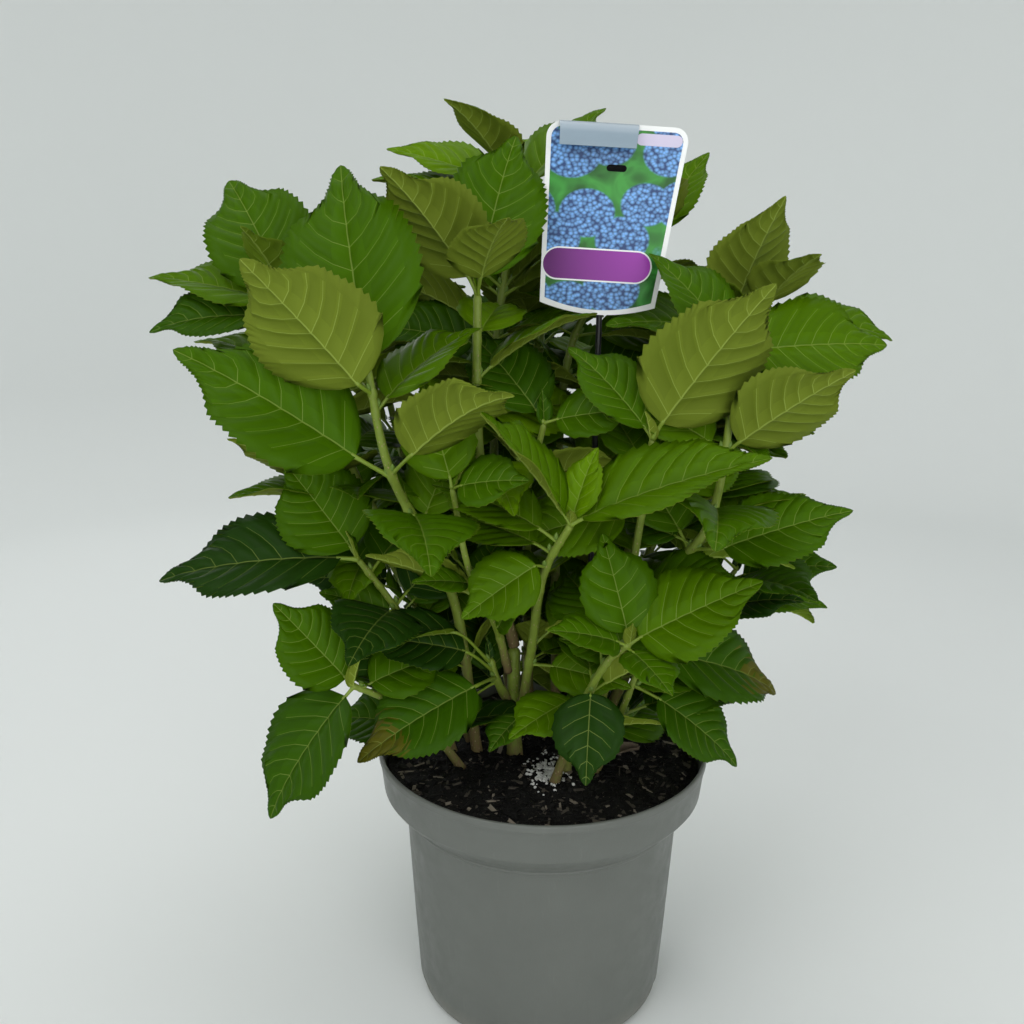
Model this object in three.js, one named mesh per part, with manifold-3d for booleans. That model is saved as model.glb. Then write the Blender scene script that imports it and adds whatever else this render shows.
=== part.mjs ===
import * as THREE from "three";
import { mergeVertices } from "three/addons/utils/BufferGeometryUtils.js";
import Module from "manifold-3d";

const wasm = await Module();
wasm.setup();

// Sizes in millimetres. The flat underside of the pot is z = 0, its axis is x = y = 0, and -Y is the front.
const POT = {
  height: 136, rim: 85, collar: 82.5, collarLow: 116, neck: 71.2, neckAt: 104, heel: 65.3, heelAt: 6,
  foot: 60, wall: 1.6, floor: 2.2, sides: 28,
};
const SOIL = { top: 127, gap: 0.5, sides: 24 };
const DRAINS = { count: 8, wide: 9, high: 5, low: 2.5, deep: 0.9, turn: 22.5 };
const CARD = {
  centre: [26.5, -2.4, 399], top: 65, bottom: 54, high: 80, thick: 0.6, lean: -3, corner: 7, sag: 4.5,
  flapWide: 36, flapDrop: 11, flapOut: 9, flapThick: 0.5, flapLeft: 9,
};
const STICK = { foot: [22.5, -0.4, 127.3], head: [24, -0.4, 376], radius: 1.5, sides: 8 };
const STEM = { sides: 6, boughParts: 3, massParts: 3, guard: 0.5, guardParts: 10 };
const STALK = { radius: 1.2, tip: 0.84, sunk: 1.2, guard: 1.6, clear: 3.2, sides: 3 };

// A blade's stations, as shares of its length. Shorter leaves have fewer.
const LEAF = {
  thick: 1.0, broad: 1.05, long: [0, 0.2, 0.52, 0.84, 1], short: [0, 0.34, 0.74, 1], young: [0, 0.45, 1],
  shortBelow: 66, youngBelow: 20,
};
// Room kept between neighbours, and the seed of the crown.
const CLEAR = { between: 0.3, over: 0.8, around: 0.3, seed: 726, step: 101 };

// A crossed pair by rule: its spread of heading, rise and roll, its stalk, droop and fold (least and spread),
// and how rise and length change from the lowest pair to the top.
const PAIR = {
  turn: 24, tilt: 16, roll: 24, stalk: [8, 8], droop: [8, 12], fold: [10, 12], width: 0.7,
  climb: 34, longer: 1.08, swell: [0.86, 0.28], taper: 0.35, vary: 0.2,
};
// The pair of young leaves that ends each shoot.
const YOUNG = { turn: 67, first: 35, rise: 74, length: 11, spread: 8, droop: 5, fold: 30, width: 0.5, sunk: 1.2 };

// The trunk runs from a flat cut on the soil to its fork.
const TRUNK = { way: [[-14, 0, 124], [-15, 0, 155], [-15, 0, 187]], r: [4.2, 3.2] };

// Each shoot has a way (foot, two waypoints, top), a radius at foot and top, and the share of its length that
// is a bare bough. "more" adds crossed pairs by rule: pairs, first place, first heading, length and rise of
// the lowest pair. A leaf row holds where on the way, heading, rise, length, roll, stalk length, droop, fold,
// width over length, and for some the heading and rise of the stalk. Angles are in degrees.
const SHOOTS = {
  "front_left": {
    "way": [[-34, 4, 123], [-45, -10, 215], [-70, -46, 286], [-78, -56, 334]],
    "r": [2.8, 1.7], "cut": 0.52, "more": [1, 0.56, 100, 56, 10],
    "leaves": [
      [0.92, 206, 50, 70, -56, 10, 6, 12, 0.76, 240, 30], [0.66, 191, 36, 88, 50, 20, 4, 14, 0.62, 208, 34],
      [0.67, -26, 42, 64, 34, 18, 12, 20, 0.66, 312, 38], [1.0, 122, 70, 92, 38, 4, 6, 12, 0.66],
      [0.86, 30, 44, 56, -10, 8, 12, 14, 0.68],
    ],
  },
  "left_back": {
    "way": [[-36, 12, 123], [-64, 16, 209], [-97, 12, 278], [-122, 4, 357]],
    "r": [2.8, 1.6], "cut": 0.5, "more": [3, 0.6, 70, 64, 15],
    "leaves": [
      [1.0, 150, 60, 68, 40, 8, 8, 14, 0.74], [1.0, 176, 14, 62, 26, 10, 4, 14, 0.6],
      [0.97, 203, 6, 58, 30, 12, 14, 18, 0.6],
    ],
  },
  "centre": {
    "way": [[-15, 1, 187.5], [-27, -6, 238], [-33, -13, 302], [-33, -15, 364]],
    "r": [3.0, 1.9], "cut": 0.5, "more": [3, 0.58, 110, 66, 15],
    "leaves": [
      [1.0, 208, 40, 70, -42, 9, 10, 16, 0.7], [1.0, 42, 60, 78, -38, 8, 8, 12, 0.66],
    ],
  },
  "centre_back": {
    "way": [[-14, 18, 123], [-25, 30, 250], [-25, 38, 340], [-14, 42, 410]],
    "r": [2.8, 1.6], "cut": 0.5, "more": [3, 0.52, 60, 68, 15],
    "leaves": [
      [1.0, 186, 24, 58, 26, 12, 10, 16, 0.62], [0.94, 204, 22, 64, 20, 12, 12, 16, 0.62],
      [1.0, 20, 50, 58, -20, 8, 10, 16, 0.66],
    ],
  },
  "label_side": {
    "way": [[8, 18, 123], [7, 30, 250], [14, 36, 340], [50, 42, 386]],
    "r": [2.6, 1.5], "cut": 0.45, "more": [3, 0.48, 90, 66, 12],
    "leaves": [
      [1.0, 22, 58, 52, -20, 8, 8, 14, 0.62],
    ],
  },
  "right_back": {
    "way": [[16, 26, 123], [50, 36, 240], [82, 28, 308], [101, 16, 350]],
    "r": [2.6, 1.5], "cut": 0.5, "more": [3, 0.55, 100, 64, 10],
    "leaves": [
      [1.0, -45, 70, 56, 24, 14, 8, 10, 0.76, 190, 40], [1.0, 2, 0, 60, -30, 14, 8, 14, 0.62],
      [0.95, 222, 60, 46, 10, 8, 10, 14, 0.68],
    ],
  },
  "front_centre": {
    "way": [[-12.5, -3, 143], [-7, -15, 188], [-2, -38, 237], [9, -60, 268]],
    "r": [2.6, 1.6], "cut": 0.2, "more": [0],
    "leaves": [
      [1.0, 198, 54, 60, 30, 6, 6, 26, 0.68], [1.0, -16, 28, 84, -20, 6, 8, 26, 0.6],
      [1.0, 50, 72, 34, 0, 3, 4, 14, 0.6], [0.3, 333, 0, 42, -40, 12, 8, 10, 0.64],
      [0.8, 150, 16, 50, 20, 10, 10, 14, 0.68],
    ],
  },
  "right": {
    "way": [[22, -4, 123], [58, -24, 228], [76, -34, 268], [84, -30, 340]],
    "r": [2.8, 1.6], "cut": 0.3, "more": [1, 0.66, 75, 58, 15],
    "leaves": [
      [0.8, -22, 40, 60, 56, 8, 6, 8, 0.7], [1.0, 2, 6, 66, -56, 5, 6, 8, 0.66],
      [0.48, -10, 24, 60, -46, 18, 6, 8, 0.64, 312, 15], [0.5, 172, 20, 56, 35, 10, 10, 14, 0.68],
      [1.0, 150, 50, 56, 30, 6, 8, 14, 0.68], [0.8, 158, 30, 56, 30, 8, 10, 14, 0.68],
      [0.5, 30, 10, 58, -20, 12, 8, 14, 0.66],
    ],
  },
  "right_front": {
    "way": [[18, -12, 123], [34, -20, 190], [42, -28, 250], [46, -38, 302]],
    "r": [2.6, 1.5], "cut": 0.4, "more": [0],
    "leaves": [
      [1.0, -22, 56, 78, 58, 8, 6, 8, 0.68], [0.78, 24, 28, 52, -35, 12, 12, 14, 0.68],
      [0.76, 196, -4, 54, 40, 8, 14, 14, 0.68], [1.0, 160, 50, 52, 30, 6, 8, 14, 0.68],
      [0.52, -30, 20, 48, -40, 12, 10, 14, 0.68],
    ],
  },
  "low_front": {
    "way": [[4, -30, 123], [18, -38, 172], [27, -52, 200], [36, -63, 214]],
    "r": [2.2, 1.3], "cut": 0.5, "more": [0],
    "leaves": [
      [1.0, 128, 68, 46, 28, 5, 6, 10, 0.74], [1.0, -8, 32, 60, -44, 5, 6, 8, 0.74],
      [0.97, 205, 24, 36, 30, 5, 10, 10, 0.76], [0.95, -62, -8, 32, 0, 5, 10, 8, 0.8],
    ],
  },
  "low_right": {
    "way": [[26, -16, 123], [34, -24, 150], [40, -29, 172], [47, -31, 196]],
    "r": [2.2, 1.3], "cut": 0.45, "more": [0],
    "leaves": [
      [1.0, 4, -8, 70, -34, 10, 16, 12, 0.62], [0.78, -24, -26, 50, -26, 14, 10, 8, 0.7],
      [1.0, 120, 30, 40, 20, 5, 10, 12, 0.68],
    ],
  },
  "low_stub": {
    "way": [[12, -19, 123], [12, -22, 142], [12, -25, 154], [13, -27, 166]],
    "r": [2.4, 1.6], "cut": 0.6, "more": [0],
    "leaves": [
      [1.0, 252, -38, 44, 0, 10, 6, 8, 0.74, 350, 40], [1.0, 220, -6, 40, 14, 8, 8, 8, 0.68, 270, 60],
      [0.9, 14, 2, 42, -26, 10, 10, 10, 0.66], [0.85, 224, -22, 24, 0, 26, 8, 8, 0.86, 196, 10],
    ],
  },
  "low_spur": {
    "way": [[-17.5, -2, 158], [-22, -5, 167], [-25, -7, 175], [-27, -8, 184]],
    "r": [2.2, 1.7], "cut": 0.3, "more": [0],
    "leaves": [
      [0.9, 204, 4, 54, 6, 32, 8, 38, 0.68, 216, 45], [0.75, 200, 18, 54, 36, 26, 10, 10, 0.66, 236, 40],
      [0.6, 203, -16, 66, 30, 30, 8, 10, 0.64, 244, 14], [0.5, 211, -24, 36, 6, 14, 8, 12, 0.72],
    ],
  },
  "left_front": {
    "way": [[-46, 2, 123], [-60, -6, 180], [-74, -12, 212], [-90, -22, 240]],
    "r": [2.4, 1.4], "cut": 0.5, "more": [1, 0.66, 100, 54, 0],
    "leaves": [
      [1.0, 187, 2, 90, 34, 8, 10, 14, 0.56], [1.0, 146, 46, 56, 44, 6, 6, 8, 0.8],
      [0.9, 50, 36, 58, -10, 8, 10, 14, 0.7],
    ],
  },
  "left_mid": {
    "way": [[-38, 20, 123], [-68, 26, 200], [-90, 24, 240], [-104, 16, 266]],
    "r": [2.4, 1.4], "cut": 0.5, "more": [3, 0.6, 110, 58, 5],
    "leaves": [
      [1.0, 205, 33, 54, -40, 10, 6, 12, 0.7, 218, 34], [1.0, 160, 42, 54, 25, 6, 8, 14, 0.62],
    ],
  },
  "low_left": {
    "way": [[-40, -12, 123], [-62, -24, 160], [-78, -34, 174], [-92, -42, 184]],
    "r": [2.2, 1.4], "cut": 0.55, "more": [0],
    "leaves": [
      [1.0, 190, 52, 50, 60, 4, 4, 8, 0.76], [0.97, 216, -42, 66, 8, 6, 8, 10, 0.76],
      [1.0, 80, 64, 46, -50, 5, 6, 8, 0.82], [0.9, 20, 34, 44, -30, 5, 8, 8, 0.8],
    ],
  },
  "inner_left": {
    "way": [[-18, -3, 175], [-24, -16, 204], [-36, -40, 240], [-43, -52, 282]],
    "r": [2.2, 1.3], "cut": 0.15, "more": [0],
    "leaves": [
      [1.0, -30, 16, 34, -40, 4, 8, 8, 0.8], [1.0, 134, 66, 46, 40, 4, 4, 10, 0.7],
      [0.6, 216, 16, 28, 20, 4, 8, 12, 0.68], [0.6, 60, 40, 26, 0, 4, 8, 12, 0.68],
      [0.25, 329, 38, 46, -50, 16, 8, 8, 0.78, 262, 40],
    ],
  },
  "inner_right": {
    "way": [[-12, 2.5, 160], [-4, 9, 195], [-10, -2, 258], [-2, -20, 306]],
    "r": [2.2, 1.4], "cut": 0.5, "more": [1, 0.66, 200, 52, 5],
    "leaves": [
      [1.0, -36, 28, 50, -50, 6, 8, 8, 0.7], [1.0, 140, 44, 58, 30, 6, 8, 14, 0.68],
      [0.86, 80, 36, 58, 0, 8, 8, 14, 0.68],
    ],
  },
  "back": {
    "way": [[-6, 34, 123], [-8, 62, 220], [-4, 86, 300], [2, 98, 366]],
    "r": [2.8, 1.6], "cut": 0.44, "more": [4, 0.46, 45, 80, 15],
    "leaves": [],
  },
  "back_left": {
    "way": [[-32, 34, 123], [-60, 56, 210], [-80, 74, 280], [-94, 88, 334]],
    "r": [2.8, 1.6], "cut": 0.44, "more": [4, 0.46, 80, 78, 15],
    "leaves": [],
  },
  "back_right": {
    "way": [[20, 42, 123], [56, 64, 205], [82, 80, 270], [98, 92, 324]],
    "r": [2.8, 1.6], "cut": 0.44, "more": [4, 0.46, 10, 78, 15],
    "leaves": [],
  },
  "low_back": {
    "way": [[-14, 52, 123], [-26, 78, 170], [-34, 100, 205], [-40, 118, 232]],
    "r": [2.2, 1.3], "cut": 0.5, "more": [3, 0.6, 60, 66, 5],
    "leaves": [],
  },
  "low_back_right": {
    "way": [[36, 24, 123], [64, 36, 165], [88, 44, 192], [108, 50, 214]],
    "r": [2.2, 1.3], "cut": 0.5, "more": [3, 0.6, 20, 64, 5],
    "leaves": [],
  },
};
// Small vector sums.
const rad = (a) => (a * Math.PI) / 180;
const add = (a, b, k = 1) => [a[0] + b[0] * k, a[1] + b[1] * k, a[2] + b[2] * k];
const mix = (a, b, p, q) => [a[0] * p + b[0] * q, a[1] * p + b[1] * q, a[2] * p + b[2] * q];
const dot = (a, b) => a[0] * b[0] + a[1] * b[1] + a[2] * b[2];
const cross = (a, b) => [a[1] * b[2] - a[2] * b[1], a[2] * b[0] - a[0] * b[2], a[0] * b[1] - a[1] * b[0]];
const unit = (a) => mix(a, a, 1 / Math.hypot(...a), 0);

// A seeded run of numbers from 0 to 1, so each build grows the same plant.
function dice(seed) {
  let state = seed >>> 0;
  return () => {
    state = (state + 0x6d2b79f5) >>> 0;
    let t = Math.imul(state ^ (state >>> 15), 1 | state) >>> 0;
    t = ((t + (Math.imul(t ^ (t >>> 7), 61 | t) >>> 0)) >>> 0) ^ t;
    return ((t ^ (t >>> 14)) >>> 0) / 4294967296;
  };
}

// The point at share t of a way, on a smooth curve through its waypoints.
function spot(way, t) {
  const n = way.length - 1;
  const x = Math.min(Math.max(t, 0), 1) * n;
  const i = Math.min(Math.floor(x), n - 1);
  const f = x - i;
  const b = way[i];
  const c = way[i + 1];
  const a = i > 0 ? way[i - 1] : mix(b, c, 2, -1);
  const d = i + 2 <= n ? way[i + 2] : mix(c, b, 2, -1);
  const part = (k) => [2 * b[k], c[k] - a[k], 2 * a[k] - 5 * b[k] + 4 * c[k] - d[k], 3 * (b[k] - c[k]) + d[k] - a[k]];
  return [0, 1, 2].map((k) => part(k).reduceRight((sum, term) => sum * f + term) / 2);
}

// Direction, side and upper face of a leaf with this heading, rise and roll.
function frame(az, rise, roll = 0) {
  const [a, e, r] = [rad(az), rad(rise), rad(roll)];
  const out = [Math.cos(a), Math.sin(a), 0];
  const D = mix(out, [0, 0, 1], Math.cos(e), Math.sin(e));
  const N = mix(out, [0, 0, 1], -Math.sin(e), Math.cos(e));
  const S = cross(D, N);
  return [D, mix(S, N, Math.cos(r), Math.sin(r)), mix(N, S, Math.cos(r), -Math.sin(r))];
}

// Half of a leaf's width at share u of its length: broadest at 0.38, pointed at the tip.
const halfWidth = (u) => (Math.pow(u, 0.55) * Math.pow(1 - u, 0.9)) / 0.5237;

function stations(length) {
  if (length < LEAF.youngBelow) return LEAF.young;
  return length < LEAF.shortBelow ? LEAF.short : LEAF.long;
}

// A blade: a folded, drooping plate in a leaf's outline. Each end is one upright edge of two points, and each
// station between them has three points above and three below.
function blade(leaf, thick, around = 0) {
  const [D, S, N] = frame(leaf.az, leaf.rise, leaf.roll);
  const at = stations(leaf.length);
  const fold = rad(leaf.fold);
  const droop = rad(leaf.droop);
  const v = [];
  let rib = leaf.base;
  at.forEach((u, k) => {
    const last = k ? at[k - 1] : 0;
    const bend = droop * (u + last);
    rib = add(rib, mix(D, N, Math.cos(bend), -Math.sin(bend)), leaf.length * (u - last));
    const up = mix(N, D, Math.cos(2 * droop * u), Math.sin(2 * droop * u));
    const w = (leaf.length * leaf.width * halfWidth(u)) / 2 + around;
    const across = (side) => add(add(rib, S, side * w * Math.cos(fold)), up, side * side * w * Math.sin(fold));
    const row = k % (at.length - 1) === 0 ? [rib] : [-1, 0, 1].map(across);
    for (const side of [thick / 2, -thick / 2]) v.push(...row.map((p) => add(p, up, side)));
  });
  return { v, t: bladeFaces(at.length) };
}

function bladeFaces(n) {
  const t = [[0, 3, 2], [0, 4, 3], [1, 5, 6], [1, 6, 7], [0, 2, 5], [0, 5, 1], [0, 1, 7], [0, 7, 4]];
  for (let a = 2; a < 6 * (n - 3) + 2; a += 6) {
    const b = a + 6;
    for (const j of [0, 1]) {
      t.push([a + j, a + j + 1, b + j + 1], [a + j, b + j + 1, b + j]);
      t.push([a + 3 + j, b + 4 + j, a + 4 + j], [a + 3 + j, b + 3 + j, b + 4 + j]);
    }
    t.push([a, b, b + 3], [a, b + 3, a + 3], [a + 2, a + 5, b + 5], [a + 2, b + 5, b + 2]);
  }
  const row = 6 * (n - 3) + 2;
  const tip = row + 6;
  t.push([tip, row, row + 1], [tip, row + 1, row + 2], [tip + 1, row + 4, row + 3], [tip + 1, row + 5, row + 4]);
  t.push([tip, row + 3, row], [tip, tip + 1, row + 3], [tip, row + 2, row + 5], [tip, row + 5, tip + 1]);
  return t;
}

// The faces of a skin over rings of points, each ring with the same number of sides.
function ringFaces(rings, sides) {
  const t = [];
  for (let i = 0; i < rings - 1; i++)
    for (let k = 0; k < sides; k++) {
      const a = i * sides + k;
      const b = i * sides + ((k + 1) % sides);
      t.push([a, b, b + sides], [a, b + sides, a + sides]);
    }
  return t;
}

// A tapering rod along points, with flat ends.
function rod(points, radii, sides = STEM.sides) {
  const v = [];
  const last = points.length - 1;
  points.forEach((p, i) => {
    const d = unit(mix(points[Math.min(i + 1, last)], points[Math.max(i - 1, 0)], 1, -1));
    const a = unit(cross(d, [0.31, -0.95, 0.05]));
    const b = cross(d, a);
    for (let k = 0; k < sides; k++) {
      const turn = (2 * Math.PI * k) / sides;
      v.push(add(p, mix(a, b, Math.cos(turn), Math.sin(turn)), radii[i]));
    }
  });
  const t = ringFaces(points.length, sides);
  const m = last * sides;
  for (let k = 1; k < sides - 1; k++) t.push([0, k + 1, k], [m, m + k, m + k + 1]);
  return { v, t };
}

// A limb between two shares of a shoot's way.
function limb(shoot, from, to, parts, extra = 0) {
  const at = Array.from({ length: parts + 1 }, (_, k) => from + ((to - from) * k) / parts);
  const radii = at.map((t) => shoot.r[0] + (shoot.r[1] - shoot.r[0]) * t + extra);
  return rod(at.map((t) => spot(shoot.way, t)), radii);
}

// Everything already grown, as edges and triangles with their bounds, so that a new leaf is kept clear of it.
const grown = [];
const bounds = (points) => [0, 1, 2].map((k) => {
  const along = points.map((p) => p[k]);
  return [Math.min(...along), Math.max(...along)];
});
const apart = (a, b) => a.some(([low, high], k) => low > b[k][1] || high < b[k][0]);
const boxed = (p) => ({ p, box: bounds(p) });

function shell({ v, t }) {
  const pairs = new Set();
  for (const q of t)
    for (let k = 0; k < 3; k++) {
      const [a, b] = [q[k], q[(k + 1) % 3]];
      pairs.add(Math.min(a, b) * 1e4 + Math.max(a, b));
    }
  const edges = [...pairs].map((p) => boxed([v[Math.floor(p / 1e4)], v[p % 1e4]]));
  return { box: bounds(v), edges, tris: t.map((q) => boxed(q.map((i) => v[i]))) };
}

function pierces([start, end], [a, b, c]) {
  const d = mix(end, start, 1, -1);
  const e1 = mix(b, a, 1, -1);
  const e2 = mix(c, a, 1, -1);
  const p = cross(d, e2);
  const det = dot(e1, p);
  if (Math.abs(det) <= 1e-12) return false;
  const s = mix(start, a, 1, -1);
  const q = cross(s, e1);
  const [u, w, t] = [dot(s, p) / det, dot(d, q) / det, dot(e2, q) / det];
  return u >= 0 && w >= 0 && u + w <= 1 && t >= 0 && t <= 1;
}

const crosses = (e, f) => !apart(e.box, f.box) && pierces(e.p, f.p);
const meets = (A, B) => A.edges.some((e) => !apart(e.box, B.box) && B.tris.some((f) => crosses(e, f)));
const touches = (A, B) => !apart(A.box, B.box) && (meets(A, B) || meets(B, A));
const grow = (shoot, kind, piece) => grown.push({ shoot, kind, shell: piece });

// A stalk may touch its own shoot's stem and stalks, and so may the young leaves at the top.
function taken(piece, shoot, kind) {
  const own = (g) => g.shoot === shoot && kind !== "blade" && g.kind !== "blade";
  return grown.some((g) => !own(g) && touches(piece, g.shell));
}

// Turned, raised or smaller, in this order, until a leaf has room: turn, raise, share of its length.
const TRIES = [
  [0, 0, 1], [7, 0, 1], [-7, 0, 1], [0, 7, 1], [0, -7, 1], [12, 6, 1], [-12, -6, 1], [-12, 6, 1], [12, -6, 1],
  [0, 14, 0.92], [0, -14, 0.92], [20, 0, 0.88], [-20, 0, 0.88], [0, 0, 0.78], [16, -14, 0.78], [-16, 14, 0.78],
  [0, -20, 0.7], [0, 20, 0.7], [28, 8, 0.6], [-28, -8, 0.6],
];
const leaves = [];
function put(name, row, kind) {
  const [t, heading, up, length, roll, stalk, droop, fold, width, stalkHeading, stalkUp] = row;
  const root = spot(SHOOTS[name].way, t);
  for (const [turn, raise, share] of TRIES) {
    const az = heading + turn;
    const rise = up + raise;
    const [way] = stalkHeading === undefined ? frame(az, rise + 8) : frame(stalkHeading + turn, stalkUp);
    const base = add(root, way, stalk);
    const leaf = { name, kind, root, base, az, rise, length: length * share, roll, droop, fold, width };
    leaf.width *= LEAF.broad;
    const wide = shell(blade(leaf, LEAF.thick + CLEAR.over, CLEAR.around));
    if (taken(wide, name, kind)) continue;
    if (kind === "blade") {
      const from = add(root, way, Math.min(STALK.clear, stalk / 2));
      const stem = shell(rod([from, base], [STALK.guard, STALK.guard], STALK.sides));
      if (taken(stem, name, "stalk")) continue;
      grow(name, "stalk", stem);
    }
    grow(name, "blade", wide);
    leaves.push(leaf);
    return;
  }
}

// The room of the pot and of the card on its stick.
const cardTurn = rad(CARD.lean);
const cardX = [Math.cos(cardTurn), 0, Math.sin(cardTurn)];
const cardZ = [-Math.sin(cardTurn), 0, Math.cos(cardTurn)];
const onCard = (x, y, z) => add(add(add(CARD.centre, cardX, x), [0, 1, 0], y), cardZ, z);
function cardRoom() {
  const v = [];
  for (const y of [-2, 2.6])
    for (const z of [-1, 1])
      for (const x of [-1, 1]) v.push(onCard(x * (CARD.top / 2 + 1), y, z * (CARD.high / 2 + 3)));
  const t = [[0, 1, 3], [0, 3, 2], [4, 7, 5], [4, 6, 7], [0, 5, 1], [0, 4, 5]];
  t.push([2, 3, 7], [2, 7, 6], [0, 2, 6], [0, 6, 4], [1, 5, 7], [1, 7, 3]);
  return { v, t };
}
function potRoom() {
  const outline = [[0.01, 129], [79, 129], [79, 138], [87.5, 138], [87.5, 0]];
  const sides = 32;
  const v = [];
  for (const [r, z] of outline)
    for (let k = 0; k < sides; k++) {
      const turn = (2 * Math.PI * k) / sides;
      v.push([r * Math.cos(turn), r * Math.sin(turn), z]);
    }
  return { v, t: ringFaces(outline.length, sides) };
}

// The pot, the card and all limbs stand first, then the leaves grow between them: the rows that are set, then
// each shoot's crossed pairs and its young leaves.
grow("", "blade", shell(potRoom()));
grow("", "blade", shell(cardRoom()));
grow("", "blade", shell(rod([STICK.foot, STICK.head], [2.4, 2.4], 4)));
const shoots = Object.entries(SHOOTS);
for (const [name, shoot] of shoots) grow(name, "stem", shell(limb(shoot, 0, 1, STEM.guardParts, STEM.guard)));
const limbs = grown.filter((g) => g.kind === "stem");
limbs.forEach((a, i) => limbs.slice(i + 1).forEach((b) => {
  if (touches(a.shell, b.shell)) throw new Error(a.shoot + " and " + b.shoot + " are too close");
}));
grow("trunk", "stem", shell(limb(TRUNK, 0, 1, STEM.guardParts, STEM.guard)));
for (const [name, shoot] of shoots) for (const row of shoot.leaves) put(name, row, "blade");

function pairLeaf(roll, shoot, k, side) {
  const [pairs, first, heading, length, rise] = shoot.more;
  const [a, b, c, d, e, g, h] = Array.from({ length: 7 }, roll);
  const f = k / Math.max(1, pairs - 1);
  const at = pairs > 1 ? first + (1 - first) * f : first;
  const swell = PAIR.swell[0] + PAIR.swell[1] * Math.sin(Math.PI * (0.2 + 0.6 * f));
  const long = PAIR.longer * length * swell * (1 - PAIR.vary / 2 + PAIR.vary * a) * (1 - PAIR.taper * f);
  return [
    at, heading + 90 * k + side + (b - 0.5) * PAIR.turn, rise + PAIR.climb * f + (c - 0.5) * PAIR.tilt, long,
    (d - 0.5) * PAIR.roll, PAIR.stalk[0] + PAIR.stalk[1] * e, PAIR.droop[0] + PAIR.droop[1] * g,
    PAIR.fold[0] + PAIR.fold[1] * h, PAIR.width,
  ];
}
function youngLeaf(roll, index, side) {
  const [a, b, c] = Array.from({ length: 3 }, roll);
  const heading = YOUNG.first + YOUNG.turn * index + side + (a - 0.5) * 20;
  const long = YOUNG.length + YOUNG.spread * c;
  return [1, heading, YOUNG.rise + YOUNG.spread * b, long, 0, -YOUNG.sunk, YOUNG.droop, YOUNG.fold, YOUNG.width];
}
shoots.forEach(([name, shoot], index) => {
  const roll = dice(CLEAR.seed + index * CLEAR.step);
  for (let k = 0; k < shoot.more[0]; k++)
    for (const side of [0, 180]) put(name, pairLeaf(roll, shoot, k, side), "blade");
  for (const side of [0, 180]) put(name, youngLeaf(roll, index, side), "young");
});

// Solids. Pieces are joined and cut only from here on.
function solid({ v, t }) {
  const vertProperties = new Float32Array(v.flat());
  return new wasm.Manifold(new wasm.Mesh({ numProp: 3, vertProperties, triVerts: new Uint32Array(t.flat()) }));
}
function solidOf(geometry) {
  geometry.deleteAttribute("normal");
  geometry.deleteAttribute("uv");
  const merged = mergeVertices(geometry, 1e-4);
  const t = [];
  for (let i = 0; i < merged.index.count; i += 3) t.push([0, 1, 2].map((k) => merged.index.getX(i + k)));
  const real = t.filter(([a, b, c]) => a !== b && b !== c && c !== a);
  return solid({ v: [...merged.attributes.position.array], t: real });
}
function mesh(name, shape, color, roughness) {
  const made = shape.getMesh();
  const geometry = new THREE.BufferGeometry();
  geometry.setAttribute("position", new THREE.BufferAttribute(new Float32Array(made.vertProperties), 3));
  geometry.setIndex(new THREE.BufferAttribute(new Uint32Array(made.triVerts), 1));
  geometry.computeVertexNormals();
  const result = new THREE.Mesh(geometry, new THREE.MeshStandardMaterial({ color, roughness }));
  result.name = name;
  return result;
}
const plant = new THREE.Group();
plant.name = "potted_shrub";

// The profile of a turned piece as [radius, height], from its lowest point on the axis round to its highest.
function turned(profile, sides) {
  const points = profile.map(([r, z]) => new THREE.Vector2(r, z));
  return solidOf(new THREE.LatheGeometry(points, sides).rotateX(Math.PI / 2));
}

// The pot: collar, neck, tapering body and a shallow drain mark at each of eight places round its heel.
function potSolid() {
  const { height, rim, collar, collarLow, neck, neckAt, heel, heelAt, foot, wall, floor } = POT;
  let body = turned([
    [0, 0], [foot, 0], [heel - 1.3, 2], [heel, heelAt], [neck, neckAt], [neck + 3.2, neckAt + 3.2],
    [collar - 2.6, collarLow - 3.6], [collar, collarLow], [rim, height - 1], [rim - 0.6, height],
    [rim - wall, height], [collar - wall, collarLow + 1], [neck - wall + 2, neckAt + 4], [neck - wall, neckAt],
    [heel - wall, heelAt + 1], [foot - 1, floor], [0, floor],
  ], POT.sides);
  for (let k = 0; k < DRAINS.count; k++) {
    const mark = new THREE.BoxGeometry(6, DRAINS.wide, DRAINS.high);
    mark.translate(heel + 3 - DRAINS.deep, 0, DRAINS.low + DRAINS.high / 2);
    mark.rotateZ(rad(DRAINS.turn + (360 * k) / DRAINS.count));
    body = body.subtract(solidOf(mark));
  }
  return body;
}
function soilSolid() {
  const { collar, collarLow, neck, neckAt, heel, heelAt, foot, wall, floor } = POT;
  const inner = wall + SOIL.gap;
  return turned([
    [0, floor + SOIL.gap], [foot - 2 - SOIL.gap, floor + SOIL.gap], [heel - inner - 0.2, heelAt + 2],
    [neck - inner - 0.2, neckAt], [neck - inner + 1.5, neckAt + 4.6], [collar - inner - 0.7, collarLow + 1.5],
    [collar - inner + 0.2, SOIL.top - 1], [collar - inner - 0.4, SOIL.top], [0, SOIL.top],
  ], SOIL.sides);
}
plant.add(mesh("pot", potSolid(), 0x7b7f78, 0.55));
plant.add(mesh("soil", soilSolid(), 0x1d1712, 0.95));

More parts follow.
